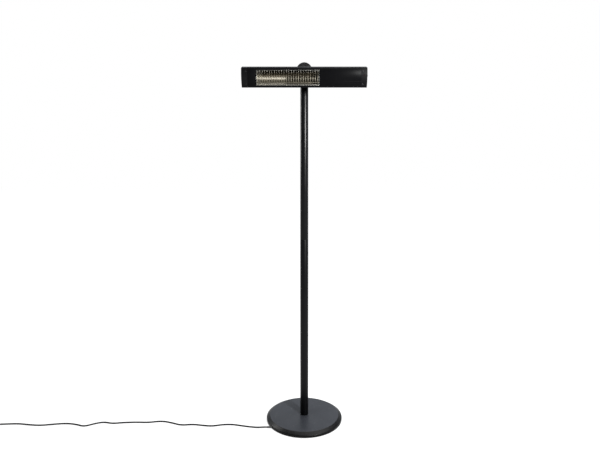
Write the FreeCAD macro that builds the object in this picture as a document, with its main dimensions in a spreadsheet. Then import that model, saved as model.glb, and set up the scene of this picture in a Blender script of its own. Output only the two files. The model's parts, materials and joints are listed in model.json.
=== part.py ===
import FreeCAD, Part
import math
import os
import re
import Sketcher
from FreeCAD import Placement, Rotation, Vector

# Free-standing electric infrared patio heater, in millimetres.
# The origin is on the floor under the post. +X runs to the viewer's right along the head,
# -Y is the side that the heater faces, and +Z is up.

doc = FreeCAD.newDocument("PatioHeater")
sheet = doc.addObject("Spreadsheet::Sheet", "Sizes")

sizes = {
    # base
    "base_diameter": 420, "base_height": 26, "cover_flat": 382, "cover_bevel": 11,
    "cover_wall": 1.5, "skirt_gap": 2.5, "edge_round": 3,
    "ballast_diameter": 386, "ballast_bore": 60,
    "foot_height": 5, "foot_diameter": 30, "foot_circle": 330, "foot_count": 6,
    "flange_diameter": 120, "flange_wall": 4, "spigot_length": 60, "spigot_bore": 26,
    "base_bolt": 8, "base_bolt_circle": 92, "bolt_sink": 6.9, "bolt_turn": 30, "washer_wall": 1.6,
    "ballast_chamfer": 6, "ballast_edge": 4, "channel_bend": 60,
    # post
    "post_diameter": 45, "post_wall": 2, "post_top": 1984, "lower_tube": 980,
    "coupler_length": 120, "coupler_bore": 28, "grub_screw": 5, "insert_length": 64,
    "cap_lip": 3, "cap_plug": 6,
    # mount disc and yoke on the post top
    "disc_diameter": 86, "disc_drop": 33, "saddle_wall": 3.5, "saddle_root": 13, "disc_wall": 12,
    "disc_round": 4, "disc_ring": 7, "ring_width": 5.5, "ring_depth": 1.5, "recess_depth": 5,
    "saddle_width": 34, "saddle_height": 66, "mount_bolt": 6,
    "mount_bolt_spacing": 40, "ear_root": 3, "ear_rise": 33, "ear_drop": 2,
    "ear_gap": 32, "ear_wall": 8, "ear_radius": 9.5,
    "hinge_reach": 62, "hinge_drop": 69, "rest_tilt": 18, "pivot_bolt": 8,
    "pivot_washer": 1.2, "knob_diameter": 34, "knob_length": 20, "knob_lobes": 6,
    "lobe_radius": 4.5, "lobe_short": 5, "knob_waist": 2.5, "insert_wall": 2.5,
    # head, measured from the hinge axis with the head level
    "head_length": 671, "head_height": 107, "back_height": 76, "hinge_back": 20,
    "shoulder": 44, "apex_reach": 100, "front_radius": 112, "head_wall": 2,
    "lip_height": 9, "ledge_height": 4, "fascia_wall": 2, "end_length": 33,
    "cap_wall": 2.5, "cap_round": 4, "screw_sink": 1.2, "window_left": 259, "window_right": 82,
    "groove_depth": 0.6, "groove_rise": -18, "groove_pitch": 11.3,
    "cap_screw": 4, "cap_screw_rise": 34, "cap_screw_inset": 24,
    "lug_width": 29, "lug_plate": 4, "lug_plate_height": 60, "lug_screw_in": 5, "lug_screw_down": 7,
    "wire_diameter": 2.6, "wire_pitch": 12.8, "cross_wire_rise": 25,
    "reflector_wall": 0.8, "reflector_back": 34, "reflector_mouth": 41,
    "reflector_slope": 52, "reflector_depth": 86, "end_lean": 26,
    "lamp_diameter": 14, "lamp_wall": 1.2, "lamp_reach": 60, "lamp_drop": 8,
    "filament_diameter": 3, "ceramic_diameter": 15, "ceramic_length": 17,
    "shield_wall": 1, "shield_place": 103,
    "board_length": 150, "board_height": 54, "board_wall": 1.6, "board_place": 122,
    "button_diameter": 12, "button_proud": 4.5, "button_rise": 8, "button_reach": 64,
    "button_travel": 2, "button_rear": 7, "button_flange": 2, "switch_length": 10, "switch_width": 14,
    "switch_back": 20, "plunger_length": 4, "lens_proud": 0.4, "lens_depth": 5,
    "lens_diameter": 9, "lens_rise": 14, "lens_inset": 18,
    # mains cord
    "cord_diameter": 7.5, "riser_bend": 22, "lead_bend": 16, "lead_drop": 96, "lead_reach": 40,
    "relief_root": 166, "relief_bore_start": 140, "gland_place": 112, "gland_drop": 14,
    "gland_diameter": 18, "gland_length": 16, "exit_offset": 110,
    "exit_height": 7.5, "notch_back": 150, "relief_length": 34, "relief_diameter": 12, "relief_tip": 9,
    "coil_diameter": 84, "coil_across": 15, "coil_height": 15, "coil_x": 1752,
    "plug_rear": -1706, "plug_width": 36, "plug_height": 26, "plug_length": 42,
    "plug_neck": 11.5, "plug_round": 4, "pin_diameter": 4.8,
    "pin_length": 19, "pin_root": 8, "pin_spacing": 19,
    # clearances
    "slip_gap": 0.1, "running_gap": 0.05, "free_gap": 0.3, "panel_gap": 0.3,
}

for row, (alias, number) in enumerate(sizes.items(), start=1):
    sheet.set(f"A{row}", alias)
    sheet.set(f"B{row}", str(number))
    sheet.setAlias(f"B{row}", alias)
doc.recompute()

aliasWords = re.compile(r"\b(" + "|".join(sorted(sizes, key=len, reverse=True)) + r")\b")
turns = {
    "+X": Rotation(Vector(0, 1, 0), 90), "-X": Rotation(Vector(0, 1, 0), -90),
    "+Y": Rotation(Vector(1, 0, 0), -90), "-Y": Rotation(Vector(1, 0, 0), 90),
    "+Z": Rotation(), "-Z": Rotation(Vector(1, 0, 0), 180),
}
subParts = []


# ---------------------------------------------------------------- helpers
def bound(text):
    return aliasWords.sub(r"Sizes.\1", str(text))


def size(text):
    return float(sheet.evalExpression(bound(text)))


def bind(item, **rules):
    for name, text in rules.items():
        item.setExpression(name, bound(text))
    return item


def moved(item, x=0, y=0, z=0, along="+Z"):
    item.Placement = Placement(Vector(), turns[along])
    for axis, text in zip("xyz", (x, y, z)):
        item.setExpression(f"Placement.Base.{axis}", bound(text))
    return item


def cylinder(name, radius, height, x=0, y=0, z=0, along="+Z"):
    item = doc.addObject("Part::Cylinder", name)
    return moved(bind(item, Radius=radius, Height=height), x, y, z, along)


def cone(name, startRadius, endRadius, height, x=0, y=0, z=0, along="+Z"):
    item = doc.addObject("Part::Cone", name)
    return moved(bind(item, Radius1=startRadius, Radius2=endRadius, Height=height), x, y, z, along)


def prism(name, sides, radius, height, x=0, y=0, z=0, along="+Z"):
    item = doc.addObject("Part::Prism", name)
    item.Polygon = sides
    return moved(bind(item, Circumradius=radius, Height=height), x, y, z, along)


def box(name, length, width, height, x=0, y=0, z=0):
    item = doc.addObject("Part::Box", name)
    return moved(bind(item, Length=length, Width=width, Height=height), x, y, z)


def fuse(name, *items):
    item = doc.addObject("Part::MultiFuse", name)
    item.Shapes = list(items)
    return item


def cut(name, base, *tools):
    item = doc.addObject("Part::Cut", name)
    item.Base = base
    item.Tool = tools[0] if len(tools) == 1 else fuse(name + "_tools", *tools)
    return item


def common(name, first, second):
    item = doc.addObject("Part::Common", name)
    item.Base = first
    item.Tool = second
    return item


def group(name, items):
    item = doc.addObject("Part::Compound", name)
    item.Links = list(items)
    return item


def shaped(name, shape):
    item = doc.addObject("Part::Feature", name)
    item.Shape = shape
    return item


def subPart(label, item, tilted=False):
    """Names a finished piece, and hangs a head piece from the hinge axis at the rest tilt."""
    if tilted and item.TypeId in ("Part::Cylinder", "Part::Box", "Part::Cone", "Part::Prism"):
        item = group(label + "_holder", [item])
    if tilted:
        item.Placement = Placement(Vector(), Rotation(Vector(1, 0, 0), size("rest_tilt")))
        item.setExpression("Placement.Rotation.Angle", bound("rest_tilt"))
        item.setExpression("Placement.Base.y", bound("-hinge_reach"))
        item.setExpression("Placement.Base.z", bound(hingeHeight))
    item.Label = label
    subParts.append(item)
    return item


def newBody(name):
    return doc.addObject("PartDesign::Body", name + "_body")


def newSketch(body, name, role, offset=0):
    sketch = body.newObject("Sketcher::SketchObject", name)
    plane = next(part for part in body.Origin.OriginFeatures if part.Role == role)
    sketch.AttachmentSupport = [(plane, "")]
    sketch.MapMode = "FlatFace"
    sketch.setExpression("AttachmentOffset.Base.z", bound(offset))
    return sketch


def outline(body, name, role, corners, arcs=None, offset=0):
    """A closed sketch through corners; arcs[i] = (radius, side) bends the edge after corner i."""
    arcs = arcs or {}
    sketch = newSketch(body, name, role, offset)
    spots = [Vector(size(across), size(up), 0) for across, up in corners]
    firstEnds = []
    for i, spot in enumerate(spots):
        following = spots[(i + 1) % len(spots)]
        if i in arcs:
            radius, side = size(arcs[i][0]), arcs[i][1]
            run = following - spot
            outward = Vector(run.y, -run.x, 0).normalize() * side
            centre = (spot + following) / 2 - outward * math.sqrt(radius ** 2 - run.Length ** 2 / 4)
            leftTurn = (spot - centre).cross(following - centre).z > 0
            begin, end = (spot, following) if leftTurn else (following, spot)
            angles = [math.atan2(point.y - centre.y, point.x - centre.x) for point in (begin, end)]
            if angles[1] < angles[0]:
                angles[1] += 2 * math.pi
            sketch.addGeometry(Part.ArcOfCircle(Part.Circle(centre, Vector(0, 0, 1), radius), *angles))
            firstEnds.append(1 if leftTurn else 2)
        else:
            sketch.addGeometry(Part.LineSegment(spot, following))
            firstEnds.append(1)
    for i, start in enumerate(firstEnds):
        after = (i + 1) % len(spots)
        sketch.addConstraint(Sketcher.Constraint("Coincident", i, 3 - start, after, firstEnds[after]))
    for i, (across, up) in enumerate(corners):
        for kind, axis, text in (("DistanceX", -2, across), ("DistanceY", -1, up)):
            value = size(text)
            if abs(value) < 1e-9:
                sketch.addConstraint(Sketcher.Constraint("PointOnObject", i, firstEnds[i], axis))
                continue
            rule = Sketcher.Constraint(kind, -1, 1, i, firstEnds[i], value)
            sketch.setExpression(f"Constraints[{sketch.addConstraint(rule)}]", bound(text))
    for i, (radius, side) in arcs.items():
        rule = Sketcher.Constraint("Radius", i, size(radius))
        sketch.setExpression(f"Constraints[{sketch.addConstraint(rule)}]", bound(radius))
    return sketch


def circles(body, name, role, radii, offset=0):
    sketch = newSketch(body, name, role, offset)
    for radius in radii:
        ring = sketch.addGeometry(Part.Circle(Vector(), Vector(0, 0, 1), size(radius)))
        sketch.addConstraint(Sketcher.Constraint("Coincident", ring, 3, -1, 1))
        rule = sketch.addConstraint(Sketcher.Constraint("Radius", ring, size(radius)))
        sketch.setExpression(f"Constraints[{rule}]", bound(radius))
    return sketch


def pad(body, sketch, length, symmetric=False):
    feature = body.newObject("PartDesign::Pad", sketch.Name + "_pad")
    feature.Profile = sketch
    if symmetric:
        feature.SideType = "Symmetric"
    return bind(feature, Length=length)


def revolve(body, sketch):
    feature = body.newObject("PartDesign::Revolution", sketch.Name + "_turned")
    feature.Profile = sketch
    feature.ReferenceAxis = (sketch, ["V_Axis"])
    feature.Angle = 360
    return feature


def fillet(body, feature, radius, chosen):
    """Rounds the edges of the feature for which chosen(edge) is true."""
    doc.recompute()
    names = [f"Edge{i}" for i, edge in enumerate(feature.Shape.Edges, start=1) if chosen(edge)]
    rounded = body.newObject("PartDesign::Fillet", feature.Name + "_round")
    rounded.Base = (feature, names)
    return bind(rounded, Radius=radius)


def tubeBody(name, outer, inner, length, z=0):
    body = newBody(name)
    pad(body, circles(body, name + "_section", "XY_Plane", [outer, inner], z), length)
    return body


def screw(name, shank, length, headRadius, headHeight, x, y, z, along, socket=True):
    """A machine screw: its head starts at the place given and its shank runs along."""
    away = {"+": "-", "-": "+"}[along[0]] + along[1]
    head = cylinder(name + "_head", headRadius, headHeight, x, y, z, away)
    body = fuse(name, cylinder(name + "_shank", shank, length, x, y, z, along), head)
    if not socket:
        return body
    step = {"+": "-", "-": "+"}[along[0]]
    spot = {"X": x, "Y": y, "Z": z}
    spot[along[1]] = f"{spot[along[1]]} {step} ({headHeight}) {along[0]} ({headHeight}) * 0.55"
    hole = prism(name + "_socket", 6, f"({headRadius}) * 0.52", headHeight,
                 spot["X"], spot["Y"], spot["Z"], away)
    return cut(name + "_cut", body, hole)


def route(points):
    """The path of a cable: straight runs joined by the largest tangent arcs, or by the radius
    that a point gives after its three coordinates."""
    spots = [Vector(*point[:3]) for point in points]
    edges, radii = [], []
    start = spots[0]
    for i in range(1, len(spots) - 1):
        corner = spots[i]
        inward, outward = spots[i - 1] - corner, spots[i + 1] - corner
        turn = math.pi - inward.getAngle(outward)
        radius = 0.45 * min(inward.Length, outward.Length) / math.tan(turn / 2)
        if len(points[i]) > 3:
            radius = points[i][3]
        radii.append(radius)
        reach = radius * math.tan(turn / 2)
        entry = corner + Vector(inward).normalize() * reach
        leave = corner + Vector(outward).normalize() * reach
        toCentre = (Vector(inward).normalize() + Vector(outward).normalize()).normalize()
        middle = corner + toCentre * (radius / math.cos(turn / 2) - radius)
        edges.append(Part.LineSegment(start, entry).toShape())
        edges.append(Part.Arc(entry, middle, leave).toShape())
        start = leave
    edges.append(Part.LineSegment(start, spots[-1]).toShape())
    return Part.Wire(edges), radii


def cable(name, points, radius):
    """A solid tube along a route, checked against its section times its length."""
    path, radii = route(points)
    begin, following = Vector(*points[0][:3]), Vector(*points[1][:3])
    ring = Part.Circle(begin, following - begin, size(radius)).toShape()
    tube = path.makePipeShell([Part.Wire([ring])], True, False)
    expected = math.pi * size(radius) ** 2 * path.Length
    if not tube.isValid() or abs(tube.Volume / expected - 1) > 0.01:
        raise RuntimeError(name + " is not a clean tube")
    print(name, "length", round(path.Length), "radii", [round(bend) for bend in radii])
    return shaped(name, tube)


# ---------------------------------------------------------------- shared shapes
postRadius = "post_diameter / 2"
postBore = "post_diameter / 2 - post_wall"
slipRadius = f"{postBore} - slip_gap"
cordRadius = "cord_diameter / 2"
ballastTop = "base_height - cover_wall - flange_wall"
postFoot = "base_height - cover_wall"
jointHeight = f"{postFoot} + lower_tube"
boltSeat = "foot_height + bolt_sink"
hingeHeight = "(post_top - hinge_drop)"
discHeight = "(post_top - disc_drop)"
leadHeight = "(post_top - lead_drop)"
discBack = "(post_diameter / 2 + saddle_wall)"
grubHeights = [f"{postFoot} + 30", f"{jointHeight} - 25", f"{jointHeight} + 25"]


def grubHoles(name):
    radius = "grub_screw / 2 + running_gap"
    return [cylinder(f"{name}_grub_{i}", radius, "post_diameter", 0, 0, height, "+Y")
            for i, height in enumerate(grubHeights)]


def front(rise, inset=0):
    """How far forward the head's curved front stands at a height, an inset below its skin."""
    return f"(front_radius - apex_reach - sqrt((front_radius - ({inset}))^2 - ({rise})^2))"


def mirrored(corners):
    """The corners and then their mirror images about the head's middle plane."""
    return corners + [(across, f"-({up})") for across, up in reversed(corners)]


def headOutline(inset=0):
    """The closed D-shaped section of the head, with its arc's edge first."""
    half = f"head_height / 2 - ({inset})"
    upper = [(front(half, inset), half), (f"-shoulder - ({inset}) * 0.3", half),
             (f"-hinge_back - ({inset})", f"back_height / 2 - ({inset}) * 0.6")]
    return mirrored(upper)[::-1], {5: (f"front_radius - ({inset})", 1)}


def headBlock(name, inset, length, offset):
    body = newBody(name)
    corners, arcs = headOutline(inset)
    pad(body, outline(body, name + "_section", "YZ_Plane", corners, arcs, offset), length)
    return body


# where the cable inside the base bends, and the cord's way over the floor from the strain
# relief's tip to the coil
cableBend = (-70, -110)
cordPoints = [
    (-200, -110, 7.5), (-222, -110, 7.5), (-250, -108, 4.8), (-286, -102, 3.75), (-334, -91, 3.75),
    (-392, -75, 3.75), (-446, -77, 3.75), (-503, -94, 3.75), (-560, -84, 3.75), (-612, -74, 3.75),
    (-672, -84, 3.75),
    (-724, -60, 3.75), (-790, -38, 3.75), (-856, -55, 3.75), (-930, -51, 3.75), (-1000, -56, 3.75),
    (-1056, -66, 3.75), (-1104, -49, 3.75), (-1150, -66, 3.75), (-1196, -97, 3.75),
    (-1244, -76, 3.75), (-1302, -64, 3.75), (-1368, -72, 3.75), (-1436, -86, 3.75),
    (-1504, -79, 3.75), (-1566, -67, 3.75), (-1630, -71, 3.75), (-1688, -75, 3.75),
    (-1716, -75, 3.75)]


# ---------------------------------------------------------------- base
def relievedNotch(name, radius, back):
    """An arched tunnel along X for the cord, open at the bottom."""
    width = f"2 * ({radius})"
    arch = cylinder(name + "_arch", radius, f"base_diameter / 2 - {back}",
                    "-base_diameter / 2", "-exit_offset", "exit_height", "+X")
    below = box(name + "_below", f"base_diameter / 2 - {back}", width, "exit_height",
                "-base_diameter / 2", f"-exit_offset - ({radius})", 0)
    return [arch, below]


def baseCover():
    body = newBody("base_cover")
    hole = f"{postRadius} + free_gap"
    rim = "base_diameter / 2"
    corners = [
        (hole, "base_height"), ("cover_flat / 2", "base_height"),
        (rim, "base_height - cover_bevel"), (rim, "skirt_gap"),
        (f"{rim} - cover_wall", "skirt_gap"),
        (f"{rim} - cover_wall", "base_height - cover_bevel - cover_wall * 0.6"),
        ("cover_flat / 2 - cover_wall * 0.3", "base_height - cover_wall"),
        (hole, "base_height - cover_wall")]
    shell = revolve(body, outline(body, "cover_section", "XZ_Plane", corners))
    rimHeight = size("base_height - cover_bevel")
    flatRadius = size("cover_flat / 2")

    def isOuterEdge(edge):
        circle = edge.Curve
        if not hasattr(circle, "Radius") or len(edge.Vertexes) > 1:
            return False
        outer = abs(circle.Radius - size(rim)) < 0.01 and abs(circle.Center.z - rimHeight) < 0.01
        flat = abs(circle.Radius - flatRadius) < 0.01
        return outer or (flat and abs(circle.Center.z - size("base_height")) < 0.01)

    fillet(body, shell, "edge_round", isOuterEdge)
    notch = relievedNotch("cover_notch", "relief_diameter / 2 + free_gap", "notch_back")
    subPart("base_cover", cut("cover_notched", body, *notch))


def baseBallast():
    body = newBody("ballast")
    corners = [
        ("ballast_bore / 2", "foot_height"), ("ballast_diameter / 2 - ballast_chamfer", "foot_height"),
        ("ballast_diameter / 2", "foot_height + ballast_chamfer"),
        ("ballast_diameter / 2", ballastTop + " - ballast_edge"),
        ("ballast_diameter / 2 - ballast_edge", ballastTop), ("ballast_bore / 2", ballastTop)]
    revolve(body, outline(body, "ballast_section", "XZ_Plane", corners))
    low = size("exit_height")
    channel = cable("ballast_channel", [(0, 0, low), (*cableBend, low, size("channel_bend")),
                                        (*cordPoints[0][:2], low)],
                    "relief_diameter / 2 + free_gap")
    tools = [channel]
    for i in range(3):
        x, y = boltSpot(i)
        tools.append(cylinder(f"ballast_bolt_hole_{i}", "base_bolt / 2 + free_gap", "base_height", x, y))
        tools.append(cylinder(f"ballast_counterbore_{i}", "base_bolt + 2.5", boltSeat, x, y))
    subPart("base_ballast", cut("ballast_channelled", body, *tools))


def boltSpot(i):
    """The place of one of the three base bolts, turned clear of the cable channel."""
    angle = f"(bolt_turn + 120 * {i})"
    return f"base_bolt_circle / 2 * cos({angle})", f"base_bolt_circle / 2 * sin({angle})"


def rubberFeet():
    pads = []
    for i in range(int(size("foot_count"))):
        angle = f"(360 / foot_count * {i})"
        x, y = f"foot_circle / 2 * cos({angle})", f"foot_circle / 2 * sin({angle})"
        pads.append(cone(f"foot_{i}", "foot_diameter / 2 - 1.5", "foot_diameter / 2", "foot_height", x, y))
    subPart("rubber_feet", group("feet", pads))


def footFlange():
    body = newBody("foot_flange")
    corners = [
        ("spigot_bore / 2", ballastTop), ("flange_diameter / 2", ballastTop),
        ("flange_diameter / 2", postFoot), (slipRadius, postFoot),
        (slipRadius, f"{postFoot} + spigot_length"), ("spigot_bore / 2", f"{postFoot} + spigot_length")]
    revolve(body, outline(body, "flange_section", "XZ_Plane", corners))
    holes = [grubHoles("flange")[0]]
    for i in range(3):
        x, y = boltSpot(i)
        holes.append(cylinder(f"flange_tapping_{i}", "base_bolt / 2 + running_gap", "base_height", x, y))
    subPart("foot_flange", cut("flange_drilled", body, *holes))


def baseBolts():
    bolts, washers = [], []
    for i in range(3):
        x, y = boltSpot(i)
        shank = cylinder(f"base_bolt_shank_{i}", "base_bolt / 2",
                         f"{postFoot} - ({boltSeat}) + washer_wall", x, y, f"{boltSeat} - washer_wall")
        head = prism(f"base_bolt_head_{i}", 6, "base_bolt * 0.9", "base_bolt * 0.6", x, y,
                     f"{boltSeat} - washer_wall - base_bolt * 0.6")
        bolts.append(fuse(f"base_bolt_{i}", shank, head))
        plate = cylinder(f"washer_plate_{i}", "base_bolt", "washer_wall", x, y,
                         f"{boltSeat} - washer_wall")
        bore = cylinder(f"washer_bore_{i}", "base_bolt / 2 + running_gap", "washer_wall * 3", x, y,
                        f"{boltSeat} - washer_wall * 2")
        washers.append(cut(f"base_washer_{i}", plate, bore))
    subPart("base_bolts", group("base_bolt_set", bolts))
    subPart("base_washers", group("base_washer_set", washers))


# ---------------------------------------------------------------- post
def postTubes():
    lower = tubeBody("lower_tube_blank", postRadius, postBore, "lower_tube", postFoot)
    subPart("lower_tube", cut("lower_tube_drilled", lower, *grubHoles("lower")[:2]))
    upper = tubeBody("upper_tube_blank", postRadius, postBore,
                     f"post_top - ({jointHeight})", jointHeight)
    leadHole = cylinder("lead_hole", "cord_diameter / 2 + 3.2", "post_diameter", 0, 0,
                        leadHeight, "+X")
    boltHoles = mountBoltHoles("upper")
    subPart("upper_tube", cut("upper_tube_drilled", upper, grubHoles("upper")[2], leadHole, *boltHoles))
    coupler = tubeBody("coupler_blank", slipRadius, "coupler_bore / 2", "coupler_length",
                       f"{jointHeight} - coupler_length / 2")
    subPart("tube_coupler", cut("coupler_drilled", coupler, *grubHoles("coupler")[1:]))
    screws = []
    for i, height in enumerate(grubHeights):
        inner = "spigot_bore / 2" if i == 0 else "coupler_bore / 2"
        screws.append(cylinder(f"grub_{i}", "grub_screw / 2", f"{postRadius} - {inner} - 0.6",
                               0, f"{inner} + 0.3", height, "+Y"))
    subPart("grub_screws", group("grub_screw_set", screws))


def mountBoltHoles(name, radius="mount_bolt / 2 + running_gap"):
    holes = []
    for side in (-1, 1):
        height = f"{discHeight} + {side} * mount_bolt_spacing / 2"
        holes.append(cylinder(f"{name}_mount_hole_{side + 1}", radius, "post_diameter * 2",
                              0, "-5", height, "-Y"))
    return holes


def postTop():
    blank = cylinder("insert_blank", slipRadius, "insert_length", 0, 0,
                     "post_top - cap_plug - insert_length")
    subPart("top_insert", cut("insert_drilled", blank, *mountBoltHoles("insert")))
    lid = cylinder("cap_lid", f"{postRadius}", "cap_lip", 0, 0, "post_top")
    plug = cylinder("cap_plug_barrel", slipRadius, "cap_plug", 0, 0, "post_top - cap_plug")
    subPart("post_cap", fuse("cap_whole", lid, plug))
    block = box("saddle_block_blank", "saddle_width", f"{discBack} - saddle_root", "saddle_height",
                "-saddle_width / 2", f"-{discBack}", f"{discHeight} - saddle_height / 2")
    hollow = cylinder("saddle_hollow", f"{postRadius} + 0.01", "post_top", 0, 0, 0)
    subPart("saddle_block", cut("saddle_shaped", block, hollow, *mountBoltHoles("saddle")))


def earPlate(name, x):
    """One yoke ear: a gusset from the disc's face to the boss round the pivot."""
    body = newBody(name)
    root = f"-{discBack} - disc_wall + ear_root"
    corners = [(root, f"{hingeHeight} + ear_rise"), (root, f"{hingeHeight} - ear_drop"),
               ("-hinge_reach", f"{hingeHeight} - ear_radius"),
               ("-hinge_reach", f"{hingeHeight} + ear_radius")]
    pad(body, outline(body, name + "_outline", "YZ_Plane", corners, None, x), "ear_wall")
    boss = cylinder(name + "_boss", "ear_radius", "ear_wall", x, "-hinge_reach", hingeHeight, "+X")
    return [body, boss]


def mountDisc():
    body = newBody("disc")
    radius = "disc_diameter / 2"
    corners = [(0, 0), (radius, 0), (radius, "disc_wall"), (f"{radius} - disc_ring", "disc_wall"),
               (f"{radius} - disc_ring - ring_depth", "disc_wall - ring_depth"),
               (f"{radius} - disc_ring - ring_width + ring_depth", "disc_wall - ring_depth"),
               (f"{radius} - disc_ring - ring_width", "disc_wall"), (0, "disc_wall")]
    blank = revolve(body, outline(body, "disc_section", "XZ_Plane", corners))

    def isOuterEdge(edge):
        circle = edge.Curve
        return (hasattr(circle, "Radius") and abs(circle.Radius - size(radius)) < 0.01
                and len(edge.Vertexes) == 1 and abs(circle.Center.z - size("disc_wall")) < 0.01)

    fillet(body, blank, "disc_round", isOuterEdge)
    moved(body, 0, f"-{discBack}", discHeight, "-Y")
    ears = earPlate("ear_left", "-ear_gap / 2 - ear_wall") + earPlate("ear_right", "ear_gap / 2")
    casting = fuse("disc_casting", body, *ears)
    bore = cylinder("yoke_bore", "pivot_bolt / 2 + running_gap", "4 * ear_gap", "-2 * ear_gap",
                    "-hinge_reach", hingeHeight, "+X")
    recesses = []
    for side in (-1, 1):
        height = f"{discHeight} + {side} * mount_bolt_spacing / 2"
        recesses.append(cylinder(f"bolt_recess_{side + 1}", "mount_bolt + 0.2", "mount_bolt",
                                 0, f"-{discBack} - disc_wall + recess_depth", height, "-Y"))
    subPart("mount_disc", cut("disc_drilled", casting, bore, *mountBoltHoles("disc"), *recesses))
    bolts = []
    for side in (-1, 1):
        height = f"{discHeight} + {side} * mount_bolt_spacing / 2"
        bolts.append(screw(f"mount_bolt_{side + 1}", "mount_bolt / 2",
                           f"{discBack} + disc_wall - saddle_root", "mount_bolt * 0.8",
                           "mount_bolt * 0.7", 0, f"-{discBack} - disc_wall + recess_depth",
                           height, "+Y"))
    subPart("mount_bolts", group("mount_bolt_set", bolts))


def pivot():
    earOuter = "ear_gap / 2 + ear_wall"
    shank = f"2 * ({earOuter}) + knob_length - 2"
    bolt = fuse("pivot_bolt_whole",
                cylinder("pivot_shank", "pivot_bolt / 2", shank, f"-({shank}) + {earOuter}",
                         "-hinge_reach", hingeHeight, "+X"),
                prism("pivot_head", 6, "pivot_bolt * 0.9", "pivot_bolt * 0.65", earOuter,
                      "-hinge_reach", hingeHeight, "+X"))
    subPart("pivot_bolt", bolt)
    rings = []
    for i, x in enumerate(["-ear_gap / 2", "ear_gap / 2 - pivot_washer", f"-({earOuter}) - pivot_washer"]):
        disc = cylinder(f"pivot_disc_{i}", "ear_radius - 0.5", "pivot_washer", x,
                        "-hinge_reach", hingeHeight, "+X")
        bore = cylinder(f"pivot_disc_bore_{i}", "pivot_bolt / 2 + running_gap", "pivot_washer * 3",
                        f"{x} - pivot_washer", "-hinge_reach", hingeHeight, "+X")
        rings.append(cut(f"pivot_washer_{i}", disc, bore))
    subPart("pivot_washers", group("pivot_washer_set", rings))
    knobFace = f"-({earOuter}) - pivot_washer - free_gap"
    inset = "pivot_bolt / 2 + insert_wall"
    barrel = cylinder("knob_barrel", "knob_diameter / 2 - knob_waist", "knob_length",
                      f"{knobFace} - knob_length", "-hinge_reach", hingeHeight, "+X")
    lobes = []
    for i in range(int(size("knob_lobes"))):
        angle = f"(360 / knob_lobes * {i})"
        lobes.append(cylinder(f"knob_lobe_{i}", "lobe_radius", "knob_length - lobe_short",
                              f"{knobFace} - knob_length",
                              f"-hinge_reach + (knob_diameter / 2 - lobe_radius) * cos({angle})",
                              f"{hingeHeight} + (knob_diameter / 2 - lobe_radius) * sin({angle})",
                              "+X"))
    seat = cylinder("knob_seat", inset, "knob_length * 2", f"{knobFace} - knob_length * 0.85",
                    "-hinge_reach", hingeHeight, "+X")
    subPart("tilt_knob", cut("knob_bored", fuse("knob_solid", barrel, *lobes), seat))
    sleeve = cylinder("insert_sleeve", inset, "knob_length * 0.85", f"{knobFace} - knob_length * 0.85",
                      "-hinge_reach", hingeHeight, "+X")
    hole = cylinder("insert_hole", "pivot_bolt / 2 + running_gap", "knob_length * 2",
                    f"{knobFace} - knob_length * 1.5", "-hinge_reach", hingeHeight, "+X")
    subPart("knob_insert", cut("insert_bored", sleeve, hole))


# ---------------------------------------------------------------- head shell
def headHousing():
    body = newBody("housing")
    half, lip = "head_height / 2", "(head_height / 2 - lip_height)"
    ledge = "(head_height / 2 - lip_height - ledge_height)"
    upper = [
        ("-hinge_back", "back_height / 2"), ("-shoulder", half), (front(half), half),
        (front(lip), lip), (front(lip, "fascia_wall"), lip), (front(ledge, "fascia_wall"), ledge),
        (front(ledge, "fascia_wall") + " + head_wall", ledge),
        (front(half) + " + head_wall * 1.5", half + " - head_wall"),
        ("-shoulder - head_wall * 0.3", half + " - head_wall"),
        ("-hinge_back - head_wall", "back_height / 2 - head_wall * 0.6")]
    # the section runs round the outside and back along the inside, open at the front
    pad(body, outline(body, "housing_section", "YZ_Plane", mirrored(upper)),
        "head_length - 2 * end_length", symmetric=True)
    holes = [cylinder("gland_hole", "gland_diameter / 2 - 3", "head_wall * 4", "gland_place",
                      "-hinge_back - head_wall * 2", "-gland_drop", "+Y")]
    holes += bracketHoles("housing", "cap_screw / 2 + running_gap")
    subPart("head_housing", cut("housing_drilled", body, *holes), tilted=True)


def bracketSpots():
    return [(f"{i} * (lug_width / 2 - lug_screw_in)", f"{j} * (lug_plate_height / 2 - lug_screw_down)")
            for i in (-1, 1) for j in (-1, 1)]


def bracketHoles(name, radius):
    return [cylinder(f"{name}_bracket_hole_{i}", radius, "30", x, "-hinge_back - 15", z, "+Y")
            for i, (x, z) in enumerate(bracketSpots())]


def fascia(label, start, end, grooves=()):
    body = newBody(label)
    edge = "(head_height / 2 - lip_height - panel_gap)"
    corners = [(front(edge), edge), (front(edge), f"-{edge}"),
               (front(edge, "fascia_wall"), f"-{edge}"), (front(edge, "fascia_wall"), edge)]
    arcs = {0: ("front_radius", 1), 2: ("front_radius - fascia_wall", -1)}
    pad(body, outline(body, label + "_section", "YZ_Plane", corners, arcs, start), f"({end}) - ({start})")
    if not grooves:
        return subPart(label, body, tilted=True)
    cuts = [cylinder(f"{label}_groove_{i}", "groove_depth * 1.5", f"({end}) - ({start}) + 2",
                     f"{start} - 1", front(rise, "-groove_depth / 2"), rise, "+X")
            for i, rise in enumerate(grooves)]
    return subPart(label, cut(label + "_grooved", body, *cuts), tilted=True)


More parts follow.
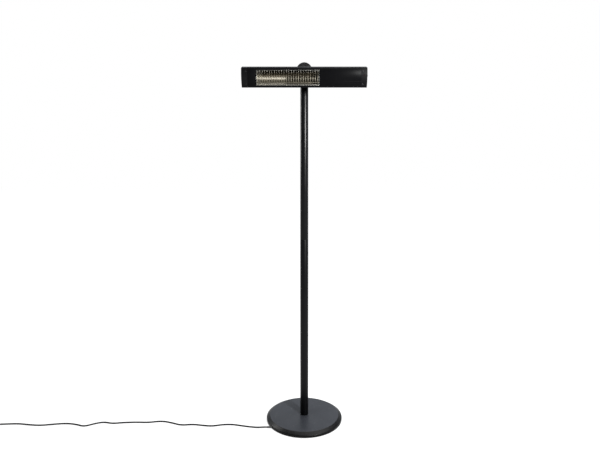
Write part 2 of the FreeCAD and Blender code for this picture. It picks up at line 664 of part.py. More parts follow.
def endSet(label, side):
    """The plastic end cap, and the metal plate with screw tabs that it covers."""
    mouth = "head_length / 2 - end_length"
    start = mouth if side > 0 else "-head_length / 2"
    cap = headBlock(f"{label}_cap", 0, "end_length", start)

    def isOuterRim(edge):
        return all(abs(point.X - side * size("head_length / 2")) < 0.01 for point in edge.Vertexes)

    fillet(cap, cap.Tip, "cap_round", isOuterRim)
    hollowStart = start + " - 1" if side > 0 else "-head_length / 2 + cap_wall"
    hollow = headBlock(f"{label}_hollow", "cap_wall", "end_length - cap_wall + 1", hollowStart)
    screwX = f"{side} * (head_length / 2 - cap_screw_inset)"
    tools = [hollow]
    for i in (-1, 1):
        rise = f"({i} * cap_screw_rise)"
        tools.append(cylinder(f"{label}_screw_hole_{i + 1}", "cap_screw / 2 + free_gap", "40",
                              screwX, "-apex_reach", rise, "+Y"))
        tools.append(cylinder(f"{label}_screw_sink_{i + 1}", "cap_screw", "8", screwX,
                              f"{front(rise)} + screw_sink", rise, "-Y"))
    if side > 0:
        tools.append(cylinder("button_hole", "button_diameter / 2 + free_gap", "20",
                              "head_length / 2 - 10", "-button_reach", "button_rise", "+X"))
        tools.append(cylinder("lens_hole", "lens_diameter / 2 + 0.02", "10",
                              "head_length / 2 - lens_inset", "-apex_reach - 1", "lens_rise", "+Y"))
    subPart(f"end_cap_{label}", cut(f"{label}_cap_hollowed", cap, *tools), tilted=True)

    plateStart = "head_length / 2 - end_length - 1.5"
    plateStart = plateStart if side > 0 else "-(head_length / 2 - end_length)"
    plate = headBlock(f"{label}_plate", "head_wall + 2.6", "1.5", plateStart)
    tabs, taps = [], []
    for i in (-1, 1):
        rise = f"({i} * cap_screw_rise)"
        tabStart = f"{mouth} - 1" if side > 0 else "-head_length / 2 + cap_screw_inset - 6"
        tabs.append(box(f"{label}_tab_{i + 1}", "end_length - cap_screw_inset + 7", "2", "10",
                        tabStart, f"{front(rise, 'cap_wall')} + 2.4", f"{rise} - 5"))
        taps.append(cylinder(f"{label}_tap_{i + 1}", "cap_screw / 2 + running_gap", "40",
                             screwX, "-apex_reach", rise, "+Y"))
    subPart(f"end_plate_{label}", cut(f"{label}_plate_tapped", fuse(f"{label}_plate_tabs", plate, *tabs),
                                      *taps), tilted=True)


def endTrim():
    screws = []
    for side in (-1, 1):
        for i in (-1, 1):
            rise = f"({i} * cap_screw_rise)"
            screws.append(screw(f"cap_screw_{side + 1}_{i + 1}", "cap_screw / 2", "7",
                                "cap_screw * 0.9", "cap_screw * 0.5",
                                f"{side} * (head_length / 2 - cap_screw_inset)",
                                f"{front(rise)} + screw_sink", rise, "+Y"))
    subPart("end_cap_screws", group("cap_screw_set", screws), tilted=True)
    rings = []
    for side in (-1, 1):
        start = "head_length / 2 - end_length" if side > 0 else "-(head_length / 2 - end_length) - 1"
        outer = headBlock(f"gasket_outer_{side + 1}", "cap_wall + 0.2", "1", start)
        inner = headBlock(f"gasket_inner_{side + 1}", "cap_wall + 7", "3", f"{start} - 1")
        slots = [box(f"gasket_slot_{side + 1}_{i + 1}", "6", "2.4", "10.4", f"{start} - 2",
                     f"{front(f'({i} * cap_screw_rise)', 'cap_wall')} + 2.2", f"{i} * cap_screw_rise - 5.2")
                 for i in (-1, 1)]
        rings.append(cut(f"gasket_{side + 1}", outer, inner, *slots))
    subPart("end_gaskets", group("gasket_pair", rings), tilted=True)
    lens = cylinder("lens_barrel", "lens_diameter / 2", "lens_depth", "head_length / 2 - lens_inset",
                    f"{front('lens_rise')} - lens_proud", "lens_rise", "+Y")
    subPart("receiver_lens", lens, tilted=True)
    stem = cylinder("button_stem", "button_diameter / 2", "button_proud + button_rear",
                    "head_length / 2 - button_rear", "-button_reach", "button_rise", "+X")
    collar = cylinder("button_collar", "button_diameter / 2 + button_flange", "button_flange",
                      "head_length / 2 - cap_wall - button_flange", "-button_reach", "button_rise", "+X")
    crown = fuse("button_whole", stem, collar)
    subPart("power_button", crown, tilted=True)
    body = box("switch_case", "switch_length", "switch_width", "switch_width",
               "head_length / 2 - switch_back", "-button_reach - switch_width / 2",
               "button_rise - switch_width / 2")
    plunger = cylinder("switch_plunger", "2", "plunger_length - button_travel - free_gap",
                       "head_length / 2 - button_rear - plunger_length", "-button_reach",
                       "button_rise", "+X")
    arm = box("switch_arm", "end_length - 17.5", "6", "3", "head_length / 2 - end_length",
              "-button_reach - 3", "button_rise - 10")
    subPart("button_switch", fuse("switch_whole", body, plunger, arm), tilted=True)


# ---------------------------------------------------------------- grille, reflector and lamp
def grille():
    wire = "wire_diameter / 2"
    railRise = "(head_height / 2 - lip_height - ledge_height - wire_diameter / 2)"
    bend = size("front_radius - wire_diameter / 2 - 0.1")
    top = size(railRise)
    count = int(size("(window_left + window_right) / wire_pitch"))
    centre = size("front_radius - apex_reach")
    margin = (size("window_left + window_right") - (count - 1) * size("wire_pitch")) / 2
    start = size("-window_left") + margin
    depth = math.sqrt(bend ** 2 - top ** 2)
    arc = Part.Arc(Vector(start, centre - depth, top), Vector(start, centre - bend, 0),
                   Vector(start, centre - depth, -top)).toShape()
    ring = Part.Circle(Vector(start, centre - depth, top), arc.tangentAt(arc.FirstParameter),
                       size(wire)).toShape()
    bar = Part.Wire([arc]).makePipeShell([Part.Wire([ring])], True, False)
    bars = []
    for i in range(count):
        copy = bar.copy()
        copy.translate(Vector(i * size("wire_pitch"), 0, 0))
        bars.append(copy)
    rails = []
    for rise in (railRise, "cross_wire_rise", "-cross_wire_rise", "-" + railRise):
        height = size(rise)
        back = centre - math.sqrt(bend ** 2 - height ** 2) + size("wire_diameter - 0.35")
        rails.append(Part.makeCylinder(size(wire), size("window_left + window_right - 1"),
                                       Vector(size("-window_left + 0.5"), back, height), Vector(1, 0, 0)))
    welded = bars[0].multiFuse(bars[1:] + rails)
    subPart("grille", shaped("grille_welded", welded), tilted=True)


def troughCorners(spread=0):
    """The reflector's section from its top lip round the back to its bottom lip."""
    upper = [("-reflector_depth", f"reflector_mouth + {spread}"),
             (f"-reflector_slope + {spread} * 0.4", f"reflector_mouth - 4 + {spread}"),
             (f"-reflector_back + {spread}", f"18 + {spread} * 0.5")]
    return mirrored(upper)


def reflector():
    body = newBody("reflector")
    corners = troughCorners("reflector_wall") + troughCorners()[::-1]
    pad(body, outline(body, "reflector_section", "YZ_Plane", corners, None, "-window_left + 2"),
        "window_left + window_right - 4")
    subPart("reflector", body, tilted=True)
    for label, side in (("left", -1), ("right", 1)):
        filling = newBody(f"{label}_filling")
        pad(filling, outline(filling, f"{label}_filling_section", "YZ_Plane",
                             troughCorners("-0.05"), None, "-window_left + 2"),
            "window_left + window_right - 4")
        mouth = "-window_left + 3.5" if side < 0 else "window_right - 3.5"
        slab = box(f"{label}_slab", "reflector_wall", "90", "120", mouth, "-reflector_depth - 1", "-60")
        lean = math.degrees(math.atan2(size("end_lean"), size("reflector_depth - reflector_back")))
        slab.Placement = Placement(Vector(), Rotation(Vector(0, 0, 1), side * lean))
        for axis, text in zip("xyz", (mouth, "-reflector_depth - 1", "-60")):
            slab.setExpression(f"Placement.Base.{axis}", bound(text))
        plate = common(f"{label}_end_sheet", filling, slab)
        hole = cylinder(f"{label}_lamp_hole", "lamp_diameter / 2 + 1.5", "head_length", "-head_length / 2",
                        "-lamp_reach", "-lamp_drop", "+X")
        subPart(f"reflector_end_{label}", cut(f"{label}_end_pierced", plate, hole), tilted=True)


lampLeft = "(-window_left + end_lean / 2 - 2)"
lampRight = "(window_right - end_lean / 2 + 2)"


def lamp():
    length = f"({lampRight} - {lampLeft})"
    glass = cylinder("lamp_glass", "lamp_diameter / 2", length, lampLeft, "-lamp_reach", "-lamp_drop", "+X")
    bore = cylinder("lamp_bore", "lamp_diameter / 2 - lamp_wall", length + " + 2", f"{lampLeft} - 1",
                    "-lamp_reach", "-lamp_drop", "+X")
    subPart("lamp_tube", cut("lamp_hollow", glass, bore), tilted=True)
    subPart("lamp_filament", cylinder("filament_rod", "filament_diameter / 2", length, lampLeft,
                                      "-lamp_reach", "-lamp_drop", "+X"), tilted=True)
    ends, holders = [], []
    for i, x in enumerate([f"{lampLeft} - ceramic_length", lampRight]):
        ends.append(cylinder(f"ceramic_{i}", "ceramic_diameter / 2", "ceramic_length", x,
                             "-lamp_reach", "-lamp_drop", "+X"))
        strap = box(f"holder_block_{i}", "6", "22", "24", f"{x} + ceramic_length / 2 - 3",
                    "-lamp_reach - 11", "-lamp_drop - 12")
        foot = box(f"holder_foot_{i}", "6", "lamp_reach - hinge_back - head_wall - 10", "16",
                   f"{x} + ceramic_length / 2 - 3", "-lamp_reach + 10", "-lamp_drop - 8")
        hole = cylinder(f"holder_bore_{i}", "ceramic_diameter / 2 + running_gap", "ceramic_length + 4",
                        f"{x} - 2", "-lamp_reach", "-lamp_drop", "+X")
        clearance = headTroughClearance(i)
        holders.append(cut(f"holder_{i}", fuse(f"holder_solid_{i}", strap, foot), hole, *clearance))
    subPart("lamp_ceramics", group("ceramic_pair", ends), tilted=True)
    subPart("lamp_holders", group("holder_pair", holders), tilted=True)


def headTroughClearance(i):
    """The reflector's own band, which a lamp holder stands clear of."""
    body = newBody(f"trough_band_{i}")
    corners = troughCorners("reflector_wall + 0.4") + troughCorners("-0.4")[::-1]
    pad(body, outline(body, f"trough_band_section_{i}", "YZ_Plane", corners, None, "-window_left + 1"),
        "window_left + window_right - 2")
    return [body]


# ---------------------------------------------------------------- electrical parts in the head
def electronics():
    blank = headBlock("shield", "head_wall", "shield_wall", "shield_place")
    shieldFront = f"{front('head_height / 2')} + 12"
    room = box("shield_room", "20", f"-({shieldFront}) - hinge_back", "head_height",
               "shield_place - 5", shieldFront, "-head_height / 2")
    body = common("shield_trimmed", blank, room)
    leadWay = cylinder("shield_hole", "6", "10", "shield_place - 4", "-hinge_back - 7", "-29", "+X")
    subPart("heat_shield", cut("shield_pierced", body, leadWay), tilted=True)
    boardBack = "-hinge_back - head_wall - 10"
    board = box("board_sheet", "board_length", "board_wall", "board_height", "board_place",
                f"{boardBack} - board_wall", "-board_height / 2 + 13")
    subPart("control_board", board, tilted=True)
    posts = [cylinder(f"standoff_{i}{j}", "3", "10", f"board_place + {10 if i else 140}", boardBack,
                      f"{13 + j * 19}", "+Y") for i in (0, 1) for j in (-1, 1)]
    subPart("board_standoffs", group("standoff_set", posts), tilted=True)
    boardFront = f"{boardBack} - board_wall"
    pieces = [box("relay", "28", "16", "20", "board_place + 18", f"{boardFront} - 16", "4"),
              box("transformer", "26", "22", "24", "board_place + 58", f"{boardFront} - 22", "2"),
              cylinder("capacitor", "6", "20", "board_place + 100", boardFront, "14", "-Y"),
              box("triac", "12", "5", "16", "board_place + 120", f"{boardFront} - 5", "6")]
    subPart("board_parts", group("board_part_set", pieces), tilted=True)
    block = box("terminal_case", "34", "14", "15", "gland_place + 24", "-hinge_back - head_wall - 14", "-33")
    wells = [cylinder(f"terminal_well_{i}", "2.2", "9", f"gland_place + {30 + 11 * i}",
                      "-hinge_back - head_wall - 15", "-25.5", "+Y") for i in range(3)]
    subPart("terminal_block", cut("terminal_drilled", block, *wells), tilted=True)
    leads = []
    for i, (x, z) in enumerate([(lampLeft + " - ceramic_length - 4", -27), (lampRight, -31)]):
        leads.append(cylinder(f"lead_run_{i}", "1.4", f"gland_place + 24 - ({x})", x,
                              "-hinge_back - head_wall - 3.5", z, "+X"))
    subPart("lamp_leads", group("lead_pair", leads), tilted=True)


def hingeBracket():
    plate = box("bracket_plate", "lug_width", "lug_plate", "lug_plate_height", "-lug_width / 2",
                "-hinge_back", "-lug_plate_height / 2")
    web = box("bracket_web", "lug_width", "hinge_back - lug_plate / 2", "2 * ear_radius", "-lug_width / 2",
              "-hinge_back + lug_plate / 2", "-ear_radius")
    boss = cylinder("bracket_boss", "ear_radius", "lug_width", "-lug_width / 2", 0, 0, "+X")
    bore = cylinder("bracket_bore", "pivot_bolt / 2 + running_gap", "lug_width * 2", "-lug_width",
                    0, 0, "+X")
    holes = bracketHoles("lug", "cap_screw / 2 + running_gap")
    subPart("hinge_bracket", cut("bracket_bored", fuse("bracket_solid", plate, web, boss), bore, *holes),
            tilted=True)
    screws = [screw(f"bracket_screw_{i}", "cap_screw / 2", "lug_plate + head_wall + 4",
                    "cap_screw * 0.9", "cap_screw * 0.5", x, "-hinge_back + lug_plate", z, "-Y")
              for i, (x, z) in enumerate(bracketSpots())]
    subPart("bracket_screws", group("bracket_screw_set", screws), tilted=True)


# ---------------------------------------------------------------- cables and cord
def turnedToHead(y, z):
    """A place given in the level head, where it is with the head at its rest tilt."""
    tilt = math.radians(size("rest_tilt"))
    return (-size("hinge_reach") + y * math.cos(tilt) - z * math.sin(tilt),
            size(hingeHeight) + y * math.sin(tilt) + z * math.cos(tilt))


def leadAndGlands():
    flange = cylinder("grommet_flange", "cord_diameter / 2 + 6", "5", f"{postRadius} - 2.5", 0,
                      leadHeight, "+X")
    outside = cylinder("grommet_post", f"{postRadius} + 0.02", "60", 0, 0, f"{leadHeight} - 30")
    neck = cylinder("grommet_neck", "cord_diameter / 2 + 3.1", "7", f"{postRadius} - 5", 0,
                    leadHeight, "+X")
    bore = cylinder("grommet_bore", f"{cordRadius} + running_gap", "40", 0, 0, leadHeight, "+X")
    lip = cut("grommet_lip", flange, outside)
    subPart("post_grommet", cut("grommet_bored", fuse("grommet_solid", lip, neck), bore))

    sleeve = cylinder("gland_sleeve", "gland_diameter / 2 - 3.1", "8", "gland_place",
                      "-hinge_back - 6", "-gland_drop", "+Y")
    nut = prism("gland_nut", 6, "gland_diameter / 2", "gland_length * 0.5", "gland_place",
                "-hinge_back", "-gland_drop", "+Y")
    dome = cone("gland_dome", "gland_diameter / 2 - 1", "gland_diameter / 2 - 3.5",
                "gland_length * 0.5", "gland_place", "-hinge_back + gland_length * 0.5",
                "-gland_drop", "+Y")
    hole = cylinder("gland_bore", f"{cordRadius} + running_gap", "60", "gland_place",
                    "-hinge_back - 20", "-gland_drop", "+Y")
    subPart("lead_gland", cut("gland_bored", fuse("gland_solid", sleeve, nut, dome), hole), tilted=True)

    exitX = size(f"{postRadius} + 2.5")
    height = size(leadHeight)
    mouthY, mouthZ = turnedToHead(size("-hinge_back + gland_length") + 0.2, size("-gland_drop"))
    beyondY, beyondZ = turnedToHead(size("-hinge_back + gland_length") + 24, size("-gland_drop"))
    place = size("gland_place")
    points = [(exitX, 0, height), (exitX + size("lead_reach"), 0, height),
              (place - 12, mouthY + 45, height + 14), (place, beyondY, beyondZ), (place, mouthY, mouthZ)]
    subPart("head_lead", cable("head_lead_tube", points, cordRadius))
    low = size("exit_height")
    riser = [(*cordPoints[0][:2], low), (*cableBend, low, size("channel_bend")),
             (0, 0, low, size("riser_bend")), (0, 0, height, size("lead_bend")), (exitX, 0, height)]
    subPart("base_cable", cable("base_cable_tube", riser, cordRadius))


def floorCord():
    boot = cone("relief_boot", "relief_diameter / 2", "relief_tip / 2", "relief_length",
                "-relief_root", "-exit_offset", "exit_height", "-X")
    bore = cylinder("relief_bore", f"{cordRadius} + running_gap", "relief_length * 3",
                    "-relief_bore_start", "-exit_offset", "exit_height", "-X")
    subPart("strain_relief", cut("relief_bored", boot, bore))
    subPart("power_cord", cable("power_cord_tube", cordPoints, cordRadius))


def cordCoil():
    """The put-away turns as one ring, with the stubs where the cord enters and leaves it."""
    middle = size("coil_diameter / 2")
    across, tall = size("coil_across"), size("coil_height")
    centre = Vector(-size("coil_x"), cordPoints[-1][1] - middle, 0)
    ring = Part.makeCylinder(middle + across / 2, tall, centre).cut(
        Part.makeCylinder(middle - across / 2, tall, centre))
    radius = size(cordRadius)
    enter = Vector(*cordPoints[-1])
    entry = Part.makeCylinder(radius, enter.x - centre.x, enter, Vector(-1, 0, 0))
    leave = Vector(centre.x, centre.y - middle, size("coil_height - cord_diameter / 2"))
    out = Part.makeCylinder(radius, size("plug_rear") - centre.x, leave, Vector(1, 0, 0))
    subPart("cord_coil", shaped("cord_coil_solid", ring.multiFuse([entry, out]).removeSplitter()))


def plug():
    rear, rise = "plug_rear", "plug_height / 2"
    side = f"{cordPoints[-1][1]} - coil_diameter"
    body = newBody("plug")
    half, thin = "plug_width / 2", "(plug_neck / 2)"
    corners = [("0", f"-{thin}"), ("0", thin), ("plug_length * 0.35", half), ("plug_length", half),
               ("plug_length", f"-{half}"), ("plug_length * 0.35", f"-{half}")]
    block = pad(body, outline(body, "plug_section", "XY_Plane", corners), "plug_height", symmetric=True)

    def isLongEdge(edge):
        return abs(edge.tangentAt(edge.FirstParameter).x) > 0.3

    fillet(body, block, "plug_round", isLongEdge)
    moved(body, rear, side, rise)
    pins, sockets = [], []
    for i in (-1, 1):
        across = f"{side} + {i} * pin_spacing / 2"
        start = f"{rear} + plug_length - pin_root"
        pins.append(cylinder(f"pin_{i + 1}", "pin_diameter / 2", "pin_length + pin_root", start,
                             across, rise, "+X"))
        sockets.append(cylinder(f"pin_socket_{i + 1}", "pin_diameter / 2", "pin_length", start,
                                across, rise, "+X"))
    subPart("plug", cut("plug_bored", body, *sockets))
    subPart("plug_pins", group("pin_pair", pins))


# ---------------------------------------------------------------- build, check and write
baseCover()
baseBallast()
rubberFeet()
footFlange()
baseBolts()
postTubes()
postTop()
mountDisc()
pivot()
headHousing()
fascia("left_fascia", "-(head_length / 2 - end_length)", "-window_left - panel_gap")
fascia("right_fascia", "window_right + panel_gap", "head_length / 2 - end_length",
       [f"(groove_rise - {i} * groove_pitch)" for i in range(3)])
endSet("left", -1)
endSet("right", 1)
endTrim()
grille()
reflector()
lamp()
electronics()
hingeBracket()
leadAndGlands()
floorCord()
cordCoil()
plug()

doc.recompute()
for item in doc.Objects:
    if "Invalid" in item.State or "Error" in item.State:
        raise RuntimeError(f"{item.Label} failed: {item.State}")
for item in subParts:
    if item.Shape.isNull() or not item.Shape.isValid() or not item.Shape.Solids:
        raise RuntimeError(item.Label + " has no valid solid")

os.makedirs("parts", exist_ok=True)
for item in subParts:
    item.Shape.exportStep(f"parts/{item.Label}.step")
print(len(subParts), "sub-parts written")
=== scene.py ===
import json
import math

import bpy
from mathutils import Matrix, Vector


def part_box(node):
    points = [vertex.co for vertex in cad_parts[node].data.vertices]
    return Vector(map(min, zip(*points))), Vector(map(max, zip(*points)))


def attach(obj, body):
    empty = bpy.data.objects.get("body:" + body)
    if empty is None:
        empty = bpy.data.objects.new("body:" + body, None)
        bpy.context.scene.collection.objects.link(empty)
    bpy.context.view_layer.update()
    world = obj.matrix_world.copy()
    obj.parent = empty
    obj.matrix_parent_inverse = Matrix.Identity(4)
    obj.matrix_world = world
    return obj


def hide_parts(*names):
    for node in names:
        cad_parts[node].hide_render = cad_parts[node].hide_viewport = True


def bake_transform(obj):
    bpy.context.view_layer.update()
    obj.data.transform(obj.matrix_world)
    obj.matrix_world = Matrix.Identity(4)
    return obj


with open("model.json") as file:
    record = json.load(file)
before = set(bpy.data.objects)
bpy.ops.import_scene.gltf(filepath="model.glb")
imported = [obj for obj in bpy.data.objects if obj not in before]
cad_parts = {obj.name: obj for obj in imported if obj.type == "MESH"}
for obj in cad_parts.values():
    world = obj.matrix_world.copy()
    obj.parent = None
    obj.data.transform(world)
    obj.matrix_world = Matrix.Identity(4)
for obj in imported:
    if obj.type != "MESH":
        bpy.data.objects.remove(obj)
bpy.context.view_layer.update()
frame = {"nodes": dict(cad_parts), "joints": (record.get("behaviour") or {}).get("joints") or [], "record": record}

nodes = frame["nodes"]
print("frame loaded:", len(nodes), "nodes")

# the head's hinge, its tilt at rest in degrees, and the turn that lays it level about the hinge
hinge = Vector(next(one["pos_m"] for one in frame["joints"] if one["name"] == "head_tilt"))
tilt = 18
toLevel = Matrix.Rotation(math.radians(-tilt), 4, "X") @ Matrix.Translation(-hinge)


# selection, drawing and finishing

def clearSelection():
    if bpy.context.mode != "OBJECT":
        bpy.ops.object.mode_set(mode="OBJECT")
    for thing in list(bpy.context.selected_objects):
        thing.select_set(False)


def choose(*pieces):
    clearSelection()
    for piece in pieces:
        piece.select_set(True)
    bpy.context.view_layer.objects.active = pieces[0]


def editAll(piece):
    choose(piece)
    bpy.ops.object.mode_set(mode="EDIT")
    bpy.ops.mesh.select_all(action="SELECT")


def editFaces(piece, wanted):
    # goes into edit mode with just the wanted faces selected
    editAll(piece)
    bpy.ops.mesh.select_all(action="DESELECT")
    bpy.ops.mesh.select_mode(type="FACE")
    bpy.ops.object.mode_set(mode="OBJECT")
    for face in piece.data.polygons:
        face.select = wanted(face)
    bpy.ops.object.mode_set(mode="EDIT")


def draw(name, spots, closed=True):
    # a line of edges from spot to spot, begun as one corner of a plane and extruded on
    clearSelection()
    bpy.ops.mesh.primitive_plane_add(size=0.01)
    piece = bpy.context.object
    piece.name = name
    bpy.ops.object.mode_set(mode="EDIT")
    bpy.ops.mesh.select_mode(type="VERT")
    bpy.ops.mesh.merge(type="CENTER")
    bpy.ops.transform.translate(value=spots[0])
    ring = spots + spots[:1] if closed else spots
    for before, after in zip(ring, ring[1:]):
        bpy.ops.mesh.extrude_region_move(TRANSFORM_OT_translate={"value": after - before})
    if closed:
        bpy.ops.mesh.select_all(action="SELECT")
        bpy.ops.mesh.remove_doubles(threshold=1e-6)
    return piece


def arc(centre, radius, start, end, count):
    # points of an arc, with angles in degrees from +across towards +up
    points = []
    for i in range(count + 1):
        angle = math.radians(start + (end - start) * i / count)
        points.append((centre[0] + radius * math.cos(angle), centre[1] + radius * math.sin(angle)))
    return points


def rounded(corners, count=5):
    # (across, up, radius) corners as the points of a closed outline, with an arc at each radius
    points = []
    for i, (across, up, radius) in enumerate(corners):
        here = Vector((across, up))
        if not radius:
            points.append((across, up))
            continue
        back = (Vector(corners[i - 1][:2]) - here).normalized()
        onward = (Vector(corners[(i + 1) % len(corners)][:2]) - here).normalized()
        half = back.angle(onward) / 2
        centre = here + (back + onward).normalized() * radius / math.sin(half)
        first = here + back * radius / math.tan(half) - centre
        last = here + onward * radius / math.tan(half) - centre
        sweep = first.angle_signed(last)
        for step in range(count + 1):
            spoke = Matrix.Rotation(-sweep * step / count, 2) @ first
            points.append(tuple(centre + spoke))
    return points


def mirroredUp(corners):
    # the corners and then their mirror images below the level line
    return corners + [(across, -up, *rest) for across, up, *rest in reversed(corners)]


def turned(name, outline, steps=64, closed=True):
    # a piece turned about the Z axis from (radius, height) points
    piece = draw(name, [Vector((radius, 0, height)) for radius, height in outline], closed)
    bpy.ops.mesh.select_all(action="SELECT")
    bpy.ops.mesh.spin(steps=steps, angle=2 * math.pi, center=(0, 0, 0), axis=(0, 0, 1))
    bpy.ops.mesh.select_all(action="SELECT")
    bpy.ops.mesh.remove_doubles(threshold=2e-6)
    bpy.ops.mesh.normals_make_consistent(inside=False)
    bpy.ops.object.mode_set(mode="OBJECT")
    return piece


def pulled(name, outline, start, length):
    # a piece of one section, drawn as (y, z) points and pulled along X
    piece = draw(name, [Vector((start, across, up)) for across, up in outline])
    bpy.ops.mesh.edge_face_add()
    bpy.ops.mesh.extrude_region_move(TRANSFORM_OT_translate={"value": (length, 0, 0)})
    bpy.ops.mesh.select_all(action="SELECT")
    bpy.ops.mesh.normals_make_consistent(inside=False)
    bpy.ops.object.mode_set(mode="OBJECT")
    return piece


def applied(piece, kind, **settings):
    # adds a modifier with these settings and applies it
    choose(piece)
    modifier = piece.modifiers.new(kind.lower(), kind)
    for name, value in settings.items():
        setattr(modifier, name, value)
    bpy.ops.object.modifier_apply(modifier=modifier.name)
    return piece


def bevelled(piece, width, segments=2, angle=30):
    return applied(piece, "BEVEL", width=width, segments=segments, limit_method="ANGLE",
                   angle_limit=math.radians(angle), miter_outer="MITER_ARC")


def cutBy(piece, *cutters):
    for cutter in cutters:
        applied(piece, "BOOLEAN", operation="DIFFERENCE", object=cutter, solver="EXACT")
        bpy.data.objects.remove(cutter)
    return piece


def hole(radius, depth, place=(0, 0, 0), turn=(0, 0, 0), sides=24):
    clearSelection()
    bpy.ops.mesh.primitive_cylinder_add(vertices=sides, radius=radius, depth=depth, location=place,
                                        rotation=[math.radians(angle) for angle in turn])
    return bpy.context.object


def block(size, place=(0, 0, 0)):
    clearSelection()
    bpy.ops.mesh.primitive_cube_add(size=1, location=place, scale=size)
    return settled(bpy.context.object)


def joined(name, pieces):
    choose(*pieces)
    bpy.ops.object.join()
    whole = bpy.context.object
    whole.name = name
    return whole


def settled(piece):
    # puts the piece's place, turn and scale into its mesh
    choose(piece)
    bpy.ops.object.transform_apply(location=True, rotation=True, scale=True)
    return piece


def laid(piece, place=(0, 0, 0), turn=(0, 0, 0)):
    # turns the piece by degrees about X, Y and Z and moves it
    piece.rotation_euler = [math.radians(angle) for angle in turn]
    piece.location = place
    return settled(piece)


def copied(piece, place):
    twin = piece.copy()
    twin.data = piece.data.copy()
    bpy.context.scene.collection.objects.link(twin)
    return laid(twin, place)


def refined(node, width=0, segments=2, angle=35):
    # a copy of a node, merged into clean faces so that its edges can be rounded
    piece = nodes[node].copy()
    piece.data = nodes[node].data.copy()
    piece.parent = None
    piece.rotation_mode = "XYZ"
    for key in list(piece.keys()):
        del piece[key]
    bpy.context.scene.collection.objects.link(piece)
    piece.name = node + "_finished"
    editAll(piece)
    bpy.ops.mesh.customdata_custom_splitnormals_clear()
    bpy.ops.mesh.remove_doubles(threshold=4e-6)
    bpy.ops.mesh.dissolve_limited(angle_limit=math.radians(1.5))
    bpy.ops.object.mode_set(mode="OBJECT")
    if width:
        bevelled(piece, width, segments, angle)
    return piece


def finished(piece, body, slot, *replaced, smooth=35, finish=None):
    choose(piece)
    if piece.type == "MESH":
        bpy.ops.object.shade_smooth_by_angle(angle=math.radians(smooth))
        piece.data.materials.clear()
        piece.data.materials.append(finishes[finish or slot])
    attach(piece, body)
    if replaced:
        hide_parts(*replaced)
    return piece


# sockets that can be written in sums

class Signal:
    def __init__(self, tree, socket):
        self.tree = tree
        self.socket = socket

    def node(self, kind, settings, values, output=0):
        made = self.tree.nodes.new(kind)
        for name, value in settings.items():
            if name == "stops":
                ramp = made.color_ramp
                while len(ramp.elements) < len(value):
                    ramp.elements.new(0.5)
                for stop, (place, colour) in zip(ramp.elements, value):
                    stop.position = place
                    stop.color = (*colour, 1)
            else:
                setattr(made, name, value)
        for name, value in values.items():
            if isinstance(value, Signal):
                self.tree.links.new(value.socket, made.inputs[name])
            else:
                made.inputs[name].default_value = value
        return Signal(self.tree, made.outputs[output])

    def sum(self, operation, *values):
        return self.node("ShaderNodeMath", {"operation": operation}, dict(enumerate(values)))

    def __add__(self, other):
        return self.sum("ADD", self, other)

    def __sub__(self, other):
        return self.sum("SUBTRACT", self, other)

    def __rsub__(self, other):
        return self.sum("SUBTRACT", other, self)

    def __mul__(self, other):
        return self.sum("MULTIPLY", self, other)

    def __pow__(self, other):
        return self.sum("POWER", self, other)

    __radd__ = __add__
    __rmul__ = __mul__


def spread(value, low, high, toLow=0.0, toHigh=1.0):
    # value from low..high laid over toLow..toHigh, and held at its ends
    return value.node("ShaderNodeMapRange", {"clamp": True},
                      {"Value": value, "From Min": low, "From Max": high,
                       "To Min": toLow, "To Max": toHigh})


def noise(place, scale, detail=3.0, roughness=0.55, stretch=(1, 1, 1)):
    where = place.node("ShaderNodeMapping", {}, {"Vector": place, "Scale": stretch})
    return place.node("ShaderNodeTexNoise", {},
                      {"Vector": where, "Scale": scale, "Detail": detail, "Roughness": roughness})


def cells(place, scale, feature="F1"):
    return place.node("ShaderNodeTexVoronoi", {"feature": feature}, {"Vector": place, "Scale": scale})


def blended(factor, first, second):
    first, second = [(*tone, 1) if isinstance(tone, tuple) else tone for tone in (first, second)]
    return factor.node("ShaderNodeMix", {"data_type": "RGBA"}, {0: factor, 6: first, 7: second}, 2)


def grey(value):
    return (value, value, value)


def shaded(colour, share):
    return tuple(value * share for value in colour)


def relief(height, strength, distance):
    return height.node("ShaderNodeBump", {}, {"Strength": strength, "Distance": distance,
                                              "Height": height})


def parts(place):
    # the x, y and z of a place, each as a signal
    first = place.node("ShaderNodeSeparateXYZ", {}, {"Vector": place})
    made = first.socket.node
    return [Signal(place.tree, made.outputs[i]) for i in range(3)]


def newFinish(name, make, *values):
    material = bpy.data.materials.new(name)
    material.use_nodes = True
    tree = material.node_tree
    shader = tree.nodes["Principled BSDF"]
    place = Signal(tree, tree.nodes.new("ShaderNodeTexCoord").outputs["Object"])
    for socket, value in make(place, *values).items():
        if isinstance(value, Signal):
            tree.links.new(value.socket, shader.inputs[socket])
        else:
            shader.inputs[socket].default_value = value
    return material


# finishes

def powderCoat(place, colour, dust, gloss, grain, shine=0.06):
    # baked powder paint: orange peel, faint clouding, pale dust and rubbed streaks
    peel = noise(place, 900, 2)
    cloud = noise(place, 9, 4)
    rub = noise(place, 60, 5, 0.7, (1, 1, 0.15))
    speck = spread(cells(place, 520), 0.0, 0.12, 1, 0)
    wear = spread(rub, 0.58, 0.78) * 0.5 + speck * spread(cloud, 0.5, 0.7) * 0.5
    tone = blended(spread(cloud, 0.3, 0.7), colour, shaded(colour, 1.35))
    return {"Base Color": blended(wear * 0.35, tone, dust),
            "Roughness": spread(cloud + rub * 0.4, 0.45, 0.95, gloss, gloss + 0.12),
            "Normal": relief(peel + speck * 0.2, 0.25, grain),
            "Specular IOR Level": shine}


